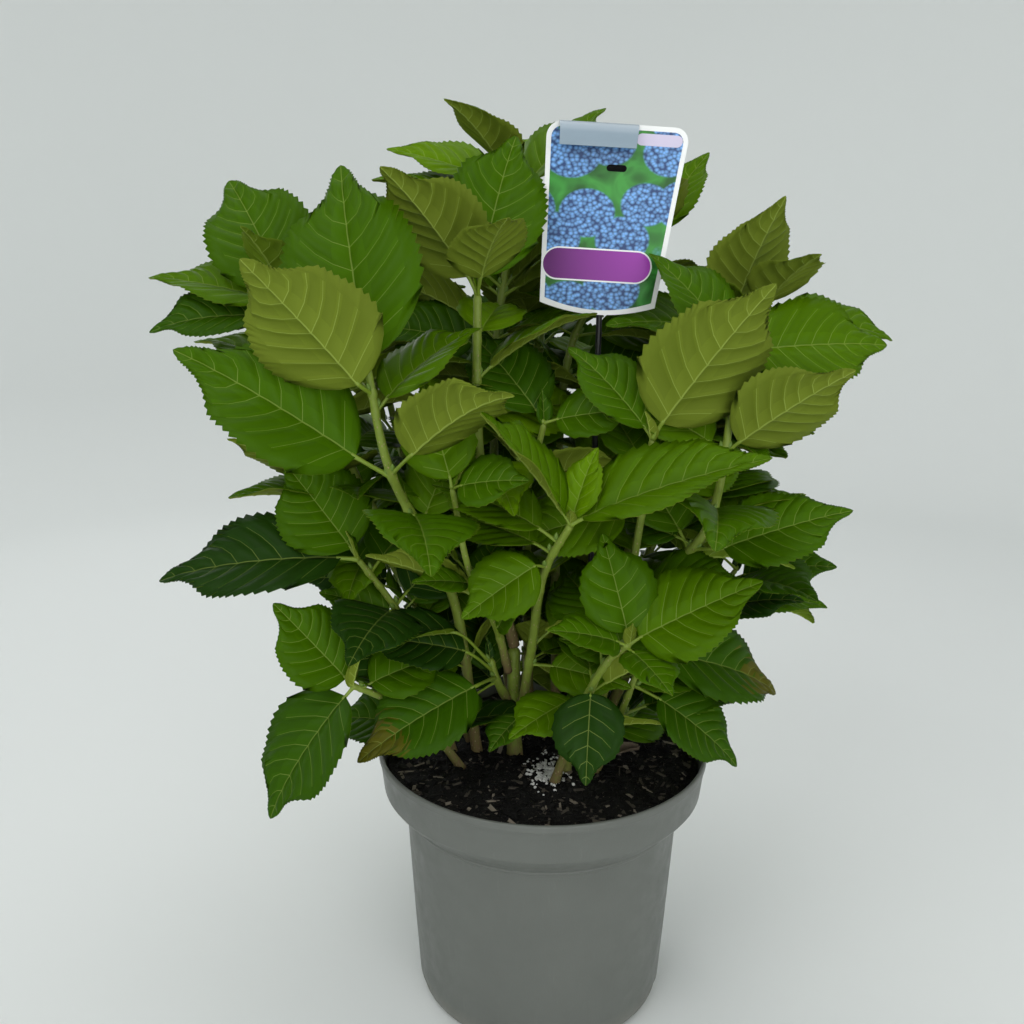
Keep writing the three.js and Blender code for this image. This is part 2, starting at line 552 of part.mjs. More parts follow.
// The trunk, then for each shoot its bare bough and its mass of leaves on the upper stem. A mass is the one
// body of its joined pieces, without sealed hollows or loose scraps.
const footing = [[0, 0, 1], SOIL.top + SOIL.gap];
const fork = add(TRUNK.way[2], [0, 0, CLEAR.between]);
const trunkRoom = solid(limb({ ...TRUNK, way: [TRUNK.way[0], TRUNK.way[1], fork] }, 0, 1, 4, CLEAR.between));
plant.add(mesh("trunk", solid(limb(TRUNK, 0, 1, 4)).trimByPlane(...footing), 0x6a5a36, 0.8));

function boughSolid(shoot) {
  return solid(limb(shoot, 0, shoot.cut, STEM.boughParts)).subtract(trunkRoom).trimByPlane(...footing);
}
function massSolid(name, shoot) {
  const line = new THREE.CatmullRomCurve3(shoot.way.map((p) => new THREE.Vector3(...p)));
  const from = shoot.cut + (CLEAR.between + 0.05) / line.getLength();
  let mass = solid(limb(shoot, from, 1, STEM.massParts)).subtract(trunkRoom);
  for (const leaf of leaves.filter((one) => one.name === name)) {
    const end = add(leaf.base, frame(leaf.az, leaf.rise)[0], STALK.sunk);
    const stalk = rod([leaf.root, end], [STALK.radius, STALK.tip], STALK.sides);
    if (leaf.kind === "blade") mass = mass.add(solid(stalk));
    mass = mass.add(solid(blade(leaf, LEAF.thick)));
  }
  return mass.simplify(0.1).decompose().reduce((a, b) => (b.volume() > a.volume() ? b : a));
}
for (const [name, shoot] of shoots) {
  plant.add(mesh(name + "_bough", boughSolid(shoot), 0x6f6a2c, 0.8));
  plant.add(mesh(name + "_leaves", massSolid(name, shoot), 0x4c7a1c, 0.5));
}

// The plant card, bare here, with its folded flap, and the stick that holds it up.
function cardSolid() {
  const { top, bottom, high, thick, corner, sag, lean, centre } = CARD;
  const outline = new THREE.Shape();
  outline.moveTo(-bottom / 2, -high / 2);
  outline.quadraticCurveTo(0, -high / 2 - 2 * sag, bottom / 2, -high / 2);
  outline.lineTo(top / 2, high / 2 - corner);
  outline.absarc(top / 2 - corner, high / 2 - corner, corner, 0, Math.PI / 2);
  outline.lineTo(corner - top / 2, high / 2);
  outline.absarc(corner - top / 2, high / 2 - corner, corner, Math.PI / 2, Math.PI);
  const plate = new THREE.ExtrudeGeometry(outline, { depth: thick, bevelEnabled: false, curveSegments: 6 });
  plate.translate(0, 0, -thick / 2).rotateX(Math.PI / 2).rotateY(-rad(lean)).translate(...centre);
  return solidOf(plate);
}
function flapSolid() {
  const { high, flapWide, flapDrop, flapOut, flapThick, flapLeft, lean, centre } = CARD;
  const side = new THREE.Shape();
  side.moveTo(0.1, -0.4);
  side.lineTo(-flapOut, -flapDrop - 0.4);
  side.lineTo(-flapOut - flapThick, -flapDrop);
  side.lineTo(-0.2, flapThick);
  const plate = new THREE.ExtrudeGeometry(side, { depth: flapWide, bevelEnabled: false });
  plate.translate(0, high / 2, -flapWide / 2).rotateX(Math.PI / 2).rotateZ(Math.PI / 2);
  return solidOf(plate.translate(-flapLeft, 0, 0).rotateY(-rad(lean)).translate(...centre));
}
const stick = rod([STICK.foot, STICK.head], [STICK.radius, STICK.radius], STICK.sides);
plant.add(mesh("label_card", cardSolid().add(flapSolid()), 0xf2f4f4, 0.4));
plant.add(mesh("label_stick", solid(stick), 0x15161a, 0.5));

export default plant;
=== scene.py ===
"""A potted hydrangea shrub: stems, toothed leaves, nursery pot, compost and plant card, on a stage."""

import math
import random
from functools import cache

import bpy
import numpy as np
from bpy.props import FloatProperty, FloatVectorProperty, IntProperty, PointerProperty
from mathutils import Matrix, Vector, noise


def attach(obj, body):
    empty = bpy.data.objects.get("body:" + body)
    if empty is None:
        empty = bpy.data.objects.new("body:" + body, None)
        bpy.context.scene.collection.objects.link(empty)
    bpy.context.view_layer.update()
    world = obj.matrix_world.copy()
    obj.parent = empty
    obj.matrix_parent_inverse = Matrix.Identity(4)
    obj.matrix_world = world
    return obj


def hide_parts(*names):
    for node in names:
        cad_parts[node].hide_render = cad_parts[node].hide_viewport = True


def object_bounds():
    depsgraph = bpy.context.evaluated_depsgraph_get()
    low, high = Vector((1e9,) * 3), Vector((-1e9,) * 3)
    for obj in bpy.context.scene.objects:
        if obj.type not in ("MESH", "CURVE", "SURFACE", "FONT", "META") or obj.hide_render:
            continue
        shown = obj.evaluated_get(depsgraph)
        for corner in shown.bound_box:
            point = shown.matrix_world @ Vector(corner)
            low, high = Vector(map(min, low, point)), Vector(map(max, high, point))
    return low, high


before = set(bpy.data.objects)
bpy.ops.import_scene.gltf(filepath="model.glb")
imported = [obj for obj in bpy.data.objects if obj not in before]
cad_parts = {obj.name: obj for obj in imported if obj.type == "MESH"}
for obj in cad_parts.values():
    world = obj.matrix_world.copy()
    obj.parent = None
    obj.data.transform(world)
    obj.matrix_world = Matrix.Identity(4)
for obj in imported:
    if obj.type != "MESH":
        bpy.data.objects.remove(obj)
CAD_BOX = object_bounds()

bl_info = {
    "name": "Potted Hydrangea Shrub",
    "version": (1, 0, 0),
    "blender": (4, 5, 0),
    "location": "View3D > Sidebar > Shrub",
    "description": "Grows a hydrangea shrub in its pot, with compost, plant card and studio stage",
    "category": "Add Mesh",
}

MM = 0.001
SEED = 726

# Sizes in millimetres, as in the part: underside of the pot at z = 0, -Y is the front.
POT = {
    "height": 136, "rim": 85, "collar": 82.5, "collar_low": 116, "neck": 71.2, "neck_at": 104,
    "heel": 65.3, "heel_at": 6, "foot": 60, "wall": 1.6, "floor": 2.2,
}
SOIL_TOP = 127
DRAINS = {"count": 8, "wide": 9, "low": 2.5, "high": 7.5, "turn": 22.5}
CARD = {
    "centre": (26.5, -2.4, 399), "top": 65, "bottom": 54, "high": 80, "lean": -3, "corner": 7, "sag": 4.5,
    "thick": 0.6, "bow": 0.7, "skew": 0.045,
}
FLAP = {"wide": 36, "drop": 11, "out": 9, "left": 9, "thick": 0.45, "bend": 1.35}
# The prints on the card with round ends, and a black sheet of painted shade where the card's hole is:
# middle, half length, low, high and depth.
PRINTS = {
    "card_band_edge": (-2.5, 25.6, -29.5, -14.5, -0.4), "card_band": (-2.5, 24.9, -28.8, -15.2, -0.45),
    "card_strip": (19, 10.5, 31.5, 36.6, -0.42), "card_hole": (1.2, 4.6, 19.6, 22.6, -0.42),
}
STICK = {
    "foot": (22.5, -0.4, 127.3), "head": (24, -0.4, 376), "radius": 1.5, "tip": 0.6,
    "rings": [
        (0.006, 1.0), (0.25, 0.97), (0.5, 0.98), (0.75, 0.96), (0.992, 0.95), (0.998, 0.7), (1.0, 0.3),
    ],
}
TRUNK = {"way": [[-14, 0, 124], [-15, 0, 155], [-15, 0, 187]], "r": [4.2, 3.2]}
STALK = {"guard": 1.6, "clear": 3.2, "sides": 3, "steps": 8}
BARK = {
    "sides": 14, "step": 2.0, "knot": 0.32, "knot_long": 1.7, "knots": 1.4, "flare": 0.7, "flare_long": 5,
    "end": 0.55,
}
LEAF = {
    "thick": 1.0, "broad": 1.05, "long": [0, 0.2, 0.52, 0.84, 1], "short": [0, 0.34, 0.74, 1],
    "young": [0, 0.45, 1], "short_below": 66, "young_below": 20,
}
CLEAR = {"over": 0.8, "around": 0.3, "step": 101}
PAIR = {
    "turn": 24, "tilt": 16, "roll": 24, "stalk": [8, 8], "droop": [8, 12], "fold": [10, 12], "width": 0.7,
    "climb": 34, "longer": 1.08, "swell": [0.86, 0.28], "taper": 0.35, "vary": 0.2,
}
YOUNG = {
    "turn": 67, "first": 35, "rise": 74, "length": 11, "spread": 8, "droop": 5, "fold": 30, "width": 0.5,
    "sunk": 1.2,
}
# Smaller leaves of finer twigs than the part has, set straight on its shoots by their stalks, kept behind
# the foremost stems and off the bare shoots: pairs of leaves between the part's own, as shares of a shoot's
# way, and their sizes.
FINE = {
    "from": 0.16, "to": 0.97, "pairs": 8, "length": [42, 22], "stalk": [6, 8], "rise": [-5, 60],
    "roll": 100, "behind": -30, "bare": ["low_stub"], "loose": 0.6, "droop": 12, "fold": 14, "width": 0.68,
}

# What lies on the compost: how far out and how long, wide and thick the chips are, the patch of granules,
# and the dry scrap's half length, half width, place, turn and thickness.
CHIP = {
    "reach": 78.5, "rim": 79.2, "short": (1.6, 4.5), "long": (4.5, 10), "wide": (0.7, 2.8),
    "thick": (0.35, 1.1),
}
PATCH = {"middle": (3, -20), "stretch": (0.95, 1.6), "spread": 5.5, "size": (0.5, 1.25)}
SCRAP = {"half_long": 13, "half_wide": 4.6, "place": (38, -6, 129.5), "turn": 0.22, "thick": 0.4}
# Rounded edges: their segments, and the angles from which an edge is rounded or shaded sharp, in degrees.
EDGE = {"segments": 3, "round": 28, "sharp": 40}
STAGE = {"cove": 380, "high": 1700, "below": 0.3, "aim": 0.22}

# Leaves placed one by one, two that hang in front and others that close the crown behind its stems: shoot,
# tone and a row as the shoots have.
PLACED = [
    ("low_front", "dark", [0.42, 262, -50, 42, 0, 12, 10, 10, 0.76, 268, 22]),
    ("front_centre", "bright", [0.72, 200, -28, 42, 45, 8, 10, 12, 0.74, 230, 20]),
    ("back", "green", [0.72, 2, 12, 62, -55, 12, 10, 12, 0.72]),
    ("back", "deep", [0.82, 178, 12, 62, 55, 12, 10, 12, 0.72]),
    ("back_left", "deep", [0.93, 0, 12, 62, -55, 12, 10, 12, 0.72]),
    ("centre_back", "deep", [0.64, 178, 14, 54, 50, 12, 10, 12, 0.72]),
    ("label_side", "deep", [0.58, 0, 12, 52, -50, 12, 10, 12, 0.72]),
    ("back", "dark", [0.12, 0, 6, 52, -50, 10, 10, 12, 0.72]),
    ("back", "dark", [0.14, 180, 6, 52, 50, 10, 10, 12, 0.72]),
    ("low_back", "dark", [0.18, 0, 6, 52, -50, 10, 10, 12, 0.72]),
    ("back_right", "deep", [0.42, 180, 10, 50, 50, 10, 10, 12, 0.72]),
    ("left_mid", "dark", [0.42, 182, 4, 46, 50, 8, 10, 12, 0.72]),
]

# Each shoot has a way (foot, two waypoints, top), a radius at foot and top, and the share of its length that
# is a bare bough. "more" adds crossed pairs by rule: pairs, first place, first heading, length and rise of
# the lowest pair. A leaf row holds where on the way, heading, rise, length, roll, stalk length, droop, fold,
# width over length, and for some the heading and rise of the stalk. Angles are in degrees.
SHOOTS = {
  "front_left": {
    "way": [[-34, 4, 123], [-45, -10, 215], [-70, -46, 286], [-78, -56, 334]],
    "r": [2.8, 1.7], "cut": 0.52, "more": [1, 0.56, 100, 56, 10],
    "leaves": [
      [0.92, 206, 50, 70, -56, 10, 6, 12, 0.76, 240, 30], [0.66, 191, 36, 88, 50, 20, 4, 14, 0.62, 208, 34],
      [0.67, -26, 42, 64, 34, 18, 12, 20, 0.66, 312, 38], [1.0, 122, 70, 92, 38, 4, 6, 12, 0.66],
      [0.86, 30, 44, 56, -10, 8, 12, 14, 0.68],
    ],
  },
  "left_back": {
    "way": [[-36, 12, 123], [-64, 16, 209], [-97, 12, 278], [-122, 4, 357]],
    "r": [2.8, 1.6], "cut": 0.5, "more": [3, 0.6, 70, 64, 15],
    "leaves": [
      [1.0, 150, 60, 68, 40, 8, 8, 14, 0.74], [1.0, 176, 14, 62, 26, 10, 4, 14, 0.6],
      [0.97, 203, 6, 58, 30, 12, 14, 18, 0.6],
    ],
  },
  "centre": {
    "way": [[-15, 1, 187.5], [-27, -6, 238], [-33, -13, 302], [-33, -15, 364]],
    "r": [3.0, 1.9], "cut": 0.5, "more": [3, 0.58, 110, 66, 15],
    "leaves": [
      [1.0, 208, 40, 70, -42, 9, 10, 16, 0.7], [1.0, 42, 60, 78, -38, 8, 8, 12, 0.66],
    ],
  },
  "centre_back": {
    "way": [[-14, 18, 123], [-25, 30, 250], [-25, 38, 340], [-14, 42, 410]],
    "r": [2.8, 1.6], "cut": 0.5, "more": [3, 0.52, 60, 68, 15],
    "leaves": [
      [1.0, 186, 24, 58, 26, 12, 10, 16, 0.62], [0.94, 204, 22, 64, 20, 12, 12, 16, 0.62],
      [1.0, 20, 50, 58, -20, 8, 10, 16, 0.66],
    ],
  },
  "label_side": {
    "way": [[8, 18, 123], [7, 30, 250], [14, 36, 340], [50, 42, 386]],
    "r": [2.6, 1.5], "cut": 0.45, "more": [3, 0.48, 90, 66, 12],
    "leaves": [
      [1.0, 22, 58, 52, -20, 8, 8, 14, 0.62],
    ],
  },
  "right_back": {
    "way": [[16, 26, 123], [50, 36, 240], [82, 28, 308], [101, 16, 350]],
    "r": [2.6, 1.5], "cut": 0.5, "more": [3, 0.55, 100, 64, 10],
    "leaves": [
      [1.0, -45, 70, 56, 24, 14, 8, 10, 0.76, 190, 40], [1.0, 2, 0, 60, -30, 14, 8, 14, 0.62],
      [0.95, 222, 60, 46, 10, 8, 10, 14, 0.68],
    ],
  },
  "front_centre": {
    "way": [[-12.5, -3, 143], [-7, -15, 188], [-2, -38, 237], [9, -60, 268]],
    "r": [2.6, 1.6], "cut": 0.2, "more": [0],
    "leaves": [
      [1.0, 198, 54, 60, 30, 6, 6, 26, 0.68], [1.0, -16, 28, 84, -20, 6, 8, 26, 0.6],
      [1.0, 50, 72, 34, 0, 3, 4, 14, 0.6], [0.3, 333, 0, 42, -40, 12, 8, 10, 0.64],
      [0.8, 150, 16, 50, 20, 10, 10, 14, 0.68],
    ],
  },
  "right": {
    "way": [[22, -4, 123], [58, -24, 228], [76, -34, 268], [84, -30, 340]],
    "r": [2.8, 1.6], "cut": 0.3, "more": [1, 0.66, 75, 58, 15],
    "leaves": [
      [0.8, -22, 40, 60, 56, 8, 6, 8, 0.7], [1.0, 2, 6, 66, -56, 5, 6, 8, 0.66],
      [0.48, -10, 24, 60, -46, 18, 6, 8, 0.64, 312, 15], [0.5, 172, 20, 56, 35, 10, 10, 14, 0.68],
      [1.0, 150, 50, 56, 30, 6, 8, 14, 0.68], [0.8, 158, 30, 56, 30, 8, 10, 14, 0.68],
      [0.5, 30, 10, 58, -20, 12, 8, 14, 0.66],
    ],
  },
  "right_front": {
    "way": [[18, -12, 123], [34, -20, 190], [42, -28, 250], [46, -38, 302]],
    "r": [2.6, 1.5], "cut": 0.4, "more": [0],
    "leaves": [
      [1.0, -22, 56, 78, 58, 8, 6, 8, 0.68], [0.78, 24, 28, 52, -35, 12, 12, 14, 0.68],
      [0.76, 196, -4, 54, 40, 8, 14, 14, 0.68], [1.0, 160, 50, 52, 30, 6, 8, 14, 0.68],
      [0.52, -30, 20, 48, -40, 12, 10, 14, 0.68],
    ],
  },
  "low_front": {
    "way": [[4, -30, 123], [18, -38, 172], [27, -52, 200], [36, -63, 214]],
    "r": [2.2, 1.3], "cut": 0.5, "more": [0],
    "leaves": [
      [1.0, 128, 68, 46, 28, 5, 6, 10, 0.74], [1.0, -8, 32, 60, -44, 5, 6, 8, 0.74],
      [0.97, 205, 24, 36, 30, 5, 10, 10, 0.76], [0.95, -62, -8, 32, 0, 5, 10, 8, 0.8],
    ],
  },
  "low_right": {
    "way": [[26, -16, 123], [34, -24, 150], [40, -29, 172], [47, -31, 196]],
    "r": [2.2, 1.3], "cut": 0.45, "more": [0],
    "leaves": [
      [1.0, 4, -8, 70, -34, 10, 16, 12, 0.62], [0.78, -24, -26, 50, -26, 14, 10, 8, 0.7],
      [1.0, 120, 30, 40, 20, 5, 10, 12, 0.68],
    ],
  },
  "low_stub": {
    "way": [[12, -19, 123], [12, -22, 142], [12, -25, 154], [13, -27, 166]],
    "r": [2.4, 1.6], "cut": 0.6, "more": [0],
    "leaves": [
      [1.0, 252, -38, 44, 0, 10, 6, 8, 0.74, 350, 40], [1.0, 220, -6, 40, 14, 8, 8, 8, 0.68, 270, 60],
      [0.9, 14, 2, 42, -26, 10, 10, 10, 0.66], [0.85, 224, -22, 24, 0, 26, 8, 8, 0.86, 196, 10],
    ],
  },
  "low_spur": {
    "way": [[-17.5, -2, 158], [-22, -5, 167], [-25, -7, 175], [-27, -8, 184]],
    "r": [2.2, 1.7], "cut": 0.3, "more": [0],
    "leaves": [
      [0.9, 204, 4, 54, 6, 32, 8, 38, 0.68, 216, 45], [0.75, 200, 18, 54, 36, 26, 10, 10, 0.66, 236, 40],
      [0.6, 203, -16, 66, 30, 30, 8, 10, 0.64, 244, 14], [0.5, 211, -24, 36, 6, 14, 8, 12, 0.72],
    ],
  },
  "left_front": {
    "way": [[-46, 2, 123], [-60, -6, 180], [-74, -12, 212], [-90, -22, 240]],
    "r": [2.4, 1.4], "cut": 0.5, "more": [1, 0.66, 100, 54, 0],
    "leaves": [
      [1.0, 187, 2, 90, 34, 8, 10, 14, 0.56], [1.0, 146, 46, 56, 44, 6, 6, 8, 0.8],
      [0.9, 50, 36, 58, -10, 8, 10, 14, 0.7],
    ],
  },
  "left_mid": {
    "way": [[-38, 20, 123], [-68, 26, 200], [-90, 24, 240], [-104, 16, 266]],
    "r": [2.4, 1.4], "cut": 0.5, "more": [3, 0.6, 110, 58, 5],
    "leaves": [
      [1.0, 205, 33, 54, -40, 10, 6, 12, 0.7, 218, 34], [1.0, 160, 42, 54, 25, 6, 8, 14, 0.62],
    ],
  },
  "low_left": {
    "way": [[-40, -12, 123], [-62, -24, 160], [-78, -34, 174], [-92, -42, 184]],
    "r": [2.2, 1.4], "cut": 0.55, "more": [0],
    "leaves": [
      [1.0, 190, 52, 50, 60, 4, 4, 8, 0.76], [0.97, 216, -42, 66, 8, 6, 8, 10, 0.76],
      [1.0, 80, 64, 46, -50, 5, 6, 8, 0.82], [0.9, 20, 34, 44, -30, 5, 8, 8, 0.8],
    ],
  },
  "inner_left": {
    "way": [[-18, -3, 175], [-24, -16, 204], [-36, -40, 240], [-43, -52, 282]],
    "r": [2.2, 1.3], "cut": 0.15, "more": [0],
    "leaves": [
      [1.0, -30, 16, 34, -40, 4, 8, 8, 0.8], [1.0, 134, 66, 46, 40, 4, 4, 10, 0.7],
      [0.6, 216, 16, 28, 20, 4, 8, 12, 0.68], [0.6, 60, 40, 26, 0, 4, 8, 12, 0.68],
      [0.25, 329, 38, 46, -50, 16, 8, 8, 0.78, 262, 40],
    ],
  },
  "inner_right": {
    "way": [[-12, 2.5, 160], [-4, 9, 195], [-10, -2, 258], [-2, -20, 306]],
    "r": [2.2, 1.4], "cut": 0.5, "more": [1, 0.66, 200, 52, 5],
    "leaves": [
      [1.0, -36, 28, 50, -50, 6, 8, 8, 0.7], [1.0, 140, 44, 58, 30, 6, 8, 14, 0.68],
      [0.86, 80, 36, 58, 0, 8, 8, 14, 0.68],
    ],
  },
  "back": {
    "way": [[-6, 34, 123], [-8, 62, 220], [-4, 86, 300], [2, 98, 366]],
    "r": [2.8, 1.6], "cut": 0.44, "more": [4, 0.46, 45, 80, 15],
    "leaves": [],
  },
  "back_left": {
    "way": [[-32, 34, 123], [-60, 56, 210], [-80, 74, 280], [-94, 88, 334]],
    "r": [2.8, 1.6], "cut": 0.44, "more": [4, 0.46, 80, 78, 15],
    "leaves": [],
  },
  "back_right": {
    "way": [[20, 42, 123], [56, 64, 205], [82, 80, 270], [98, 92, 324]],
    "r": [2.8, 1.6], "cut": 0.44, "more": [4, 0.46, 10, 78, 15],
    "leaves": [],
  },
  "low_back": {
    "way": [[-14, 52, 123], [-26, 78, 170], [-34, 100, 205], [-40, 118, 232]],
    "r": [2.2, 1.3], "cut": 0.5, "more": [3, 0.6, 60, 66, 5],
    "leaves": [],
  },
  "low_back_right": {
    "way": [[36, 24, 123], [64, 36, 165], [88, 44, 192], [108, 50, 214]],
    "r": [2.2, 1.3], "cut": 0.5, "more": [3, 0.6, 20, 64, 5],
    "leaves": [],
  },
}

# The kinds of leaf, from the yellow-green of the tops to the dark green of the foot, dealt out by shoot.
TONES = ["lime", "bright", "green", "deep", "dark", "worn"]
UNDERS = ["under_pale", "under_olive"]
VEINS = [tone + "_vein" for tone in TONES + UNDERS]
NEARS = [tone + "_near" for tone in TONES + UNDERS]
LEAF_SLOTS = TONES + NEARS + UNDERS + VEINS
HUES = {
    "front_left": "bgbgbbg", "left_back": "gbdd", "centre": "bgll", "centre_back": "lbbg",
    "label_side": "blbg", "right_back": "gbdg", "front_centre": "bblb", "right": "gbgd",
    "right_front": "gbbg", "low_front": "gbgg", "low_right": "wdgg", "low_stub": "bdgg",
    "low_spur": "kkwd", "left_front": "kgdg", "left_mid": "gdgb", "low_left": "gdkg",
    "inner_left": "gbgd", "inner_right": "gdgb", "back": "gbdg", "back_left": "gbdg",
    "back_right": "gbdg", "low_back": "dkgd", "low_back_right": "dgkd",
}
HUE_KEYS = {"l": "lime", "b": "bright", "g": "green", "d": "deep", "k": "dark", "w": "worn"}
# Pieces of foliage, each a side of the crown.
SIDES = {
    "front": ["front_centre", "right_front", "low_front", "low_right", "low_stub", "low_spur", "inner_left",
              "inner_right"],
    "left": ["front_left", "left_back", "left_front", "left_mid", "low_left"],
    "middle": ["centre", "centre_back", "label_side"],
    "right": ["right", "right_back", "low_back_right"],
    "back": ["back", "back_left", "back_right", "low_back"],
}


# The growing rule, in millimetres, as in the part.
def dice(seed):
    """A seeded run of numbers from 0 to 1."""
    state = seed & 0xFFFFFFFF

    def roll():
        nonlocal state
        state = (state + 0x6D2B79F5) & 0xFFFFFFFF
        t = ((state ^ (state >> 15)) * (1 | state)) & 0xFFFFFFFF
        t = ((t + (((t ^ (t >> 7)) * (61 | t)) & 0xFFFFFFFF)) & 0xFFFFFFFF) ^ t
        return ((t ^ (t >> 14)) & 0xFFFFFFFF) / 4294967296

    return roll


def spot(way, t):
    """The point at share t of a way, on a smooth curve through its waypoints."""
    n = len(way) - 1
    x = min(max(t, 0), 1) * n
    i = min(int(x), n - 1)
    f = x - i
    p = [np.array(q, float) for q in way]
    b, c = p[i], p[i + 1]
    a = p[i - 1] if i > 0 else 2 * b - c
    d = p[i + 2] if i + 2 <= n else 2 * c - b
    cubic = (3 * b - a - 3 * c + d) * f**3
    return (2 * b + (c - a) * f + (2 * a - 5 * b + 4 * c - d) * f * f + cubic) / 2


def leaf_frame(az, rise, roll=0.0):
    """Direction, side and upper face of a leaf with this heading, rise and roll."""
    a, e, r = math.radians(az), math.radians(rise), math.radians(roll)
    out, up = np.array([math.cos(a), math.sin(a), 0.0]), np.array([0.0, 0.0, 1.0])
    along = out * math.cos(e) + up * math.sin(e)
    face = up * math.cos(e) - out * math.sin(e)
    side = np.cross(along, face)
    return along, side * math.cos(r) + face * math.sin(r), face * math.cos(r) - side * math.sin(r)


def half_width(u):
    """Half of a leaf's width at share u of its length, as a share of its greatest."""
    u = np.clip(u, 0, 1)
    return u**0.55 * (1 - u) ** 0.9 / 0.5237


def stations(length):
    if length < LEAF["young_below"]:
        return LEAF["young"]
    return LEAF["short"] if length < LEAF["short_below"] else LEAF["long"]


def blade_faces(n):
    t = [(0, 3, 2), (0, 4, 3), (1, 5, 6), (1, 6, 7), (0, 2, 5), (0, 5, 1), (0, 1, 7), (0, 7, 4)]
    row = 6 * (n - 3) + 2
    for a in range(2, row, 6):
        b = a + 6
        for j in (0, 1):
            t += [(a + j, a + j + 1, b + j + 1), (a + j, b + j + 1, b + j)]
            t += [(a + 3 + j, b + 4 + j, a + 4 + j), (a + 3 + j, b + 3 + j, b + 4 + j)]
        t += [(a, b, b + 3), (a, b + 3, a + 3), (a + 2, a + 5, b + 5), (a + 2, b + 5, b + 2)]
    tip = row + 6
    t += [(tip, row, row + 1), (tip, row + 1, row + 2)]
    t += [(tip + 1, row + 4, row + 3), (tip + 1, row + 5, row + 4)]
    t += [(tip, row + 3, row), (tip, tip + 1, row + 3)]
    return t + [(tip, row + 2, row + 5), (tip, row + 5, tip + 1)]


def blade(leaf, thick, around):
    """The part's plain blade of this leaf, which holds its room: (points, triangles)."""
    along, side, face = leaf_frame(leaf["az"], leaf["rise"], leaf["roll"])
    at = stations(leaf["length"])
    fold, droop = math.radians(leaf["fold"]), math.radians(leaf["droop"])
    points, rib, last = [], leaf["base"], 0.0
    for k, u in enumerate(at):
        bend = droop * (u + last)
        rib = rib + (along * math.cos(bend) - face * math.sin(bend)) * leaf["length"] * (u - last)
        last = u
        up = face * math.cos(2 * droop * u) + along * math.sin(2 * droop * u)
        w = leaf["length"] * leaf["width"] * half_width(u) / 2 + around
        row = [rib]
        if 0 < k < len(at) - 1:
            row = [rib + side * s * w * math.cos(fold) + up * s * s * w * math.sin(fold) for s in (-1, 0, 1)]
        points += [p + up * h for h in (thick / 2, -thick / 2) for p in row]
    return np.array(points), np.array(blade_faces(len(at)))


def ring_faces(rings, sides):
    t = []
    for i in range(rings - 1):
        for k in range(sides):
            a, b = i * sides + k, i * sides + (k + 1) % sides
            t += [(a, b, b + sides), (a, b + sides, a + sides)]
    return t


def square_to(points, i):
    """Two directions square to a line of points at one of them."""
    d = points[min(i + 1, len(points) - 1)] - points[max(i - 1, 0)]
    d = d / np.linalg.norm(d)
    a = np.cross(d, (0.31, -0.95, 0.05))
    a /= np.linalg.norm(a)
    return a, np.cross(d, a)


def rod(points, radii, sides):
    """A plain tapering rod along points, with flat ends: (points, triangles)."""
    v, last = [], len(points) - 1
    for i, p in enumerate(points):
        a, b = square_to(points, i)
        for k in range(sides):
            turn = 2 * math.pi * k / sides
            v.append(p + radii[i] * (a * math.cos(turn) + b * math.sin(turn)))
    t, m = ring_faces(last + 1, sides), last * sides
    for k in range(1, sides - 1):
        t += [(0, k + 1, k), (m, m + k, m + k + 1)]
    return np.array(v), np.array(t)


def cross(a, b):
    """Cross product along the last axis."""
    x, y, z = (a[..., i] for i in range(3))
    p, q, r = (b[..., i] for i in range(3))
    return np.stack((y * r - z * q, z * p - x * r, x * q - y * p), -1)


def pierced(edges, faces):
    """Whether an edge goes through a face."""
    if not len(edges) or not len(faces):
        return False
    d = (edges[:, 1] - edges[:, 0])[:, None]
    e1, e2 = (faces[:, 1] - faces[:, 0])[None], (faces[:, 2] - faces[:, 0])[None]
    p = cross(d, e2)
    det = (e1 * p).sum(-1)
    real = np.abs(det) > 1e-12
    inverse = 1 / np.where(real, det, 1)
    s = edges[:, None, 0] - faces[None, :, 0]
    u = (s * p).sum(-1) * inverse
    q = cross(s, e1)
    w, t = (d * q).sum(-1) * inverse, (e2 * q).sum(-1) * inverse
    return bool((real & (u >= 0) & (w >= 0) & (u + w <= 1) & (t >= 0) & (t <= 1)).any())


class Room:
    """Everything already grown, so that a new leaf is kept clear of it."""

    def __init__(self):
        self.edges, self.faces = np.empty((0, 2, 3)), np.empty((0, 3, 3))
        self.edge_owner, self.face_owner = np.empty(0, int), np.empty(0, int)
        self.owners = []

    @staticmethod
    def parts(piece):
        points, triangles = piece
        pairs = np.concatenate([triangles[:, [0, 1]], triangles[:, [1, 2]], triangles[:, [2, 0]]])
        pairs = np.unique(np.sort(pairs, 1), axis=0)
        return points[pairs], points[triangles]

    def add(self, shoot, kind, piece):
        edges, faces = self.parts(piece)
        mark = len(self.owners)
        self.owners.append((shoot, kind))
        self.edges, self.faces = np.concatenate([self.edges, edges]), np.concatenate([self.faces, faces])
        self.edge_owner = np.append(self.edge_owner, np.full(len(edges), mark))
        self.face_owner = np.append(self.face_owner, np.full(len(faces), mark))

    def taken(self, piece, shoot, kind):
        """A stalk may touch its own shoot's stem and stalks, and so may the young leaves at the top."""
        edges, faces = self.parts(piece)
        low, high = piece[0].min(0), piece[0].max(0)
        free = np.array([s == shoot and kind != "blade" and k != "blade" for s, k in self.owners])

        def near(shapes, owner):
            there = (shapes.min(1) <= high).all(1) & (shapes.max(1) >= low).all(1) & ~free[owner]
            return shapes[there]

        if pierced(near(self.edges, self.edge_owner), faces):
            return True
        return pierced(edges, near(self.faces, self.face_owner))


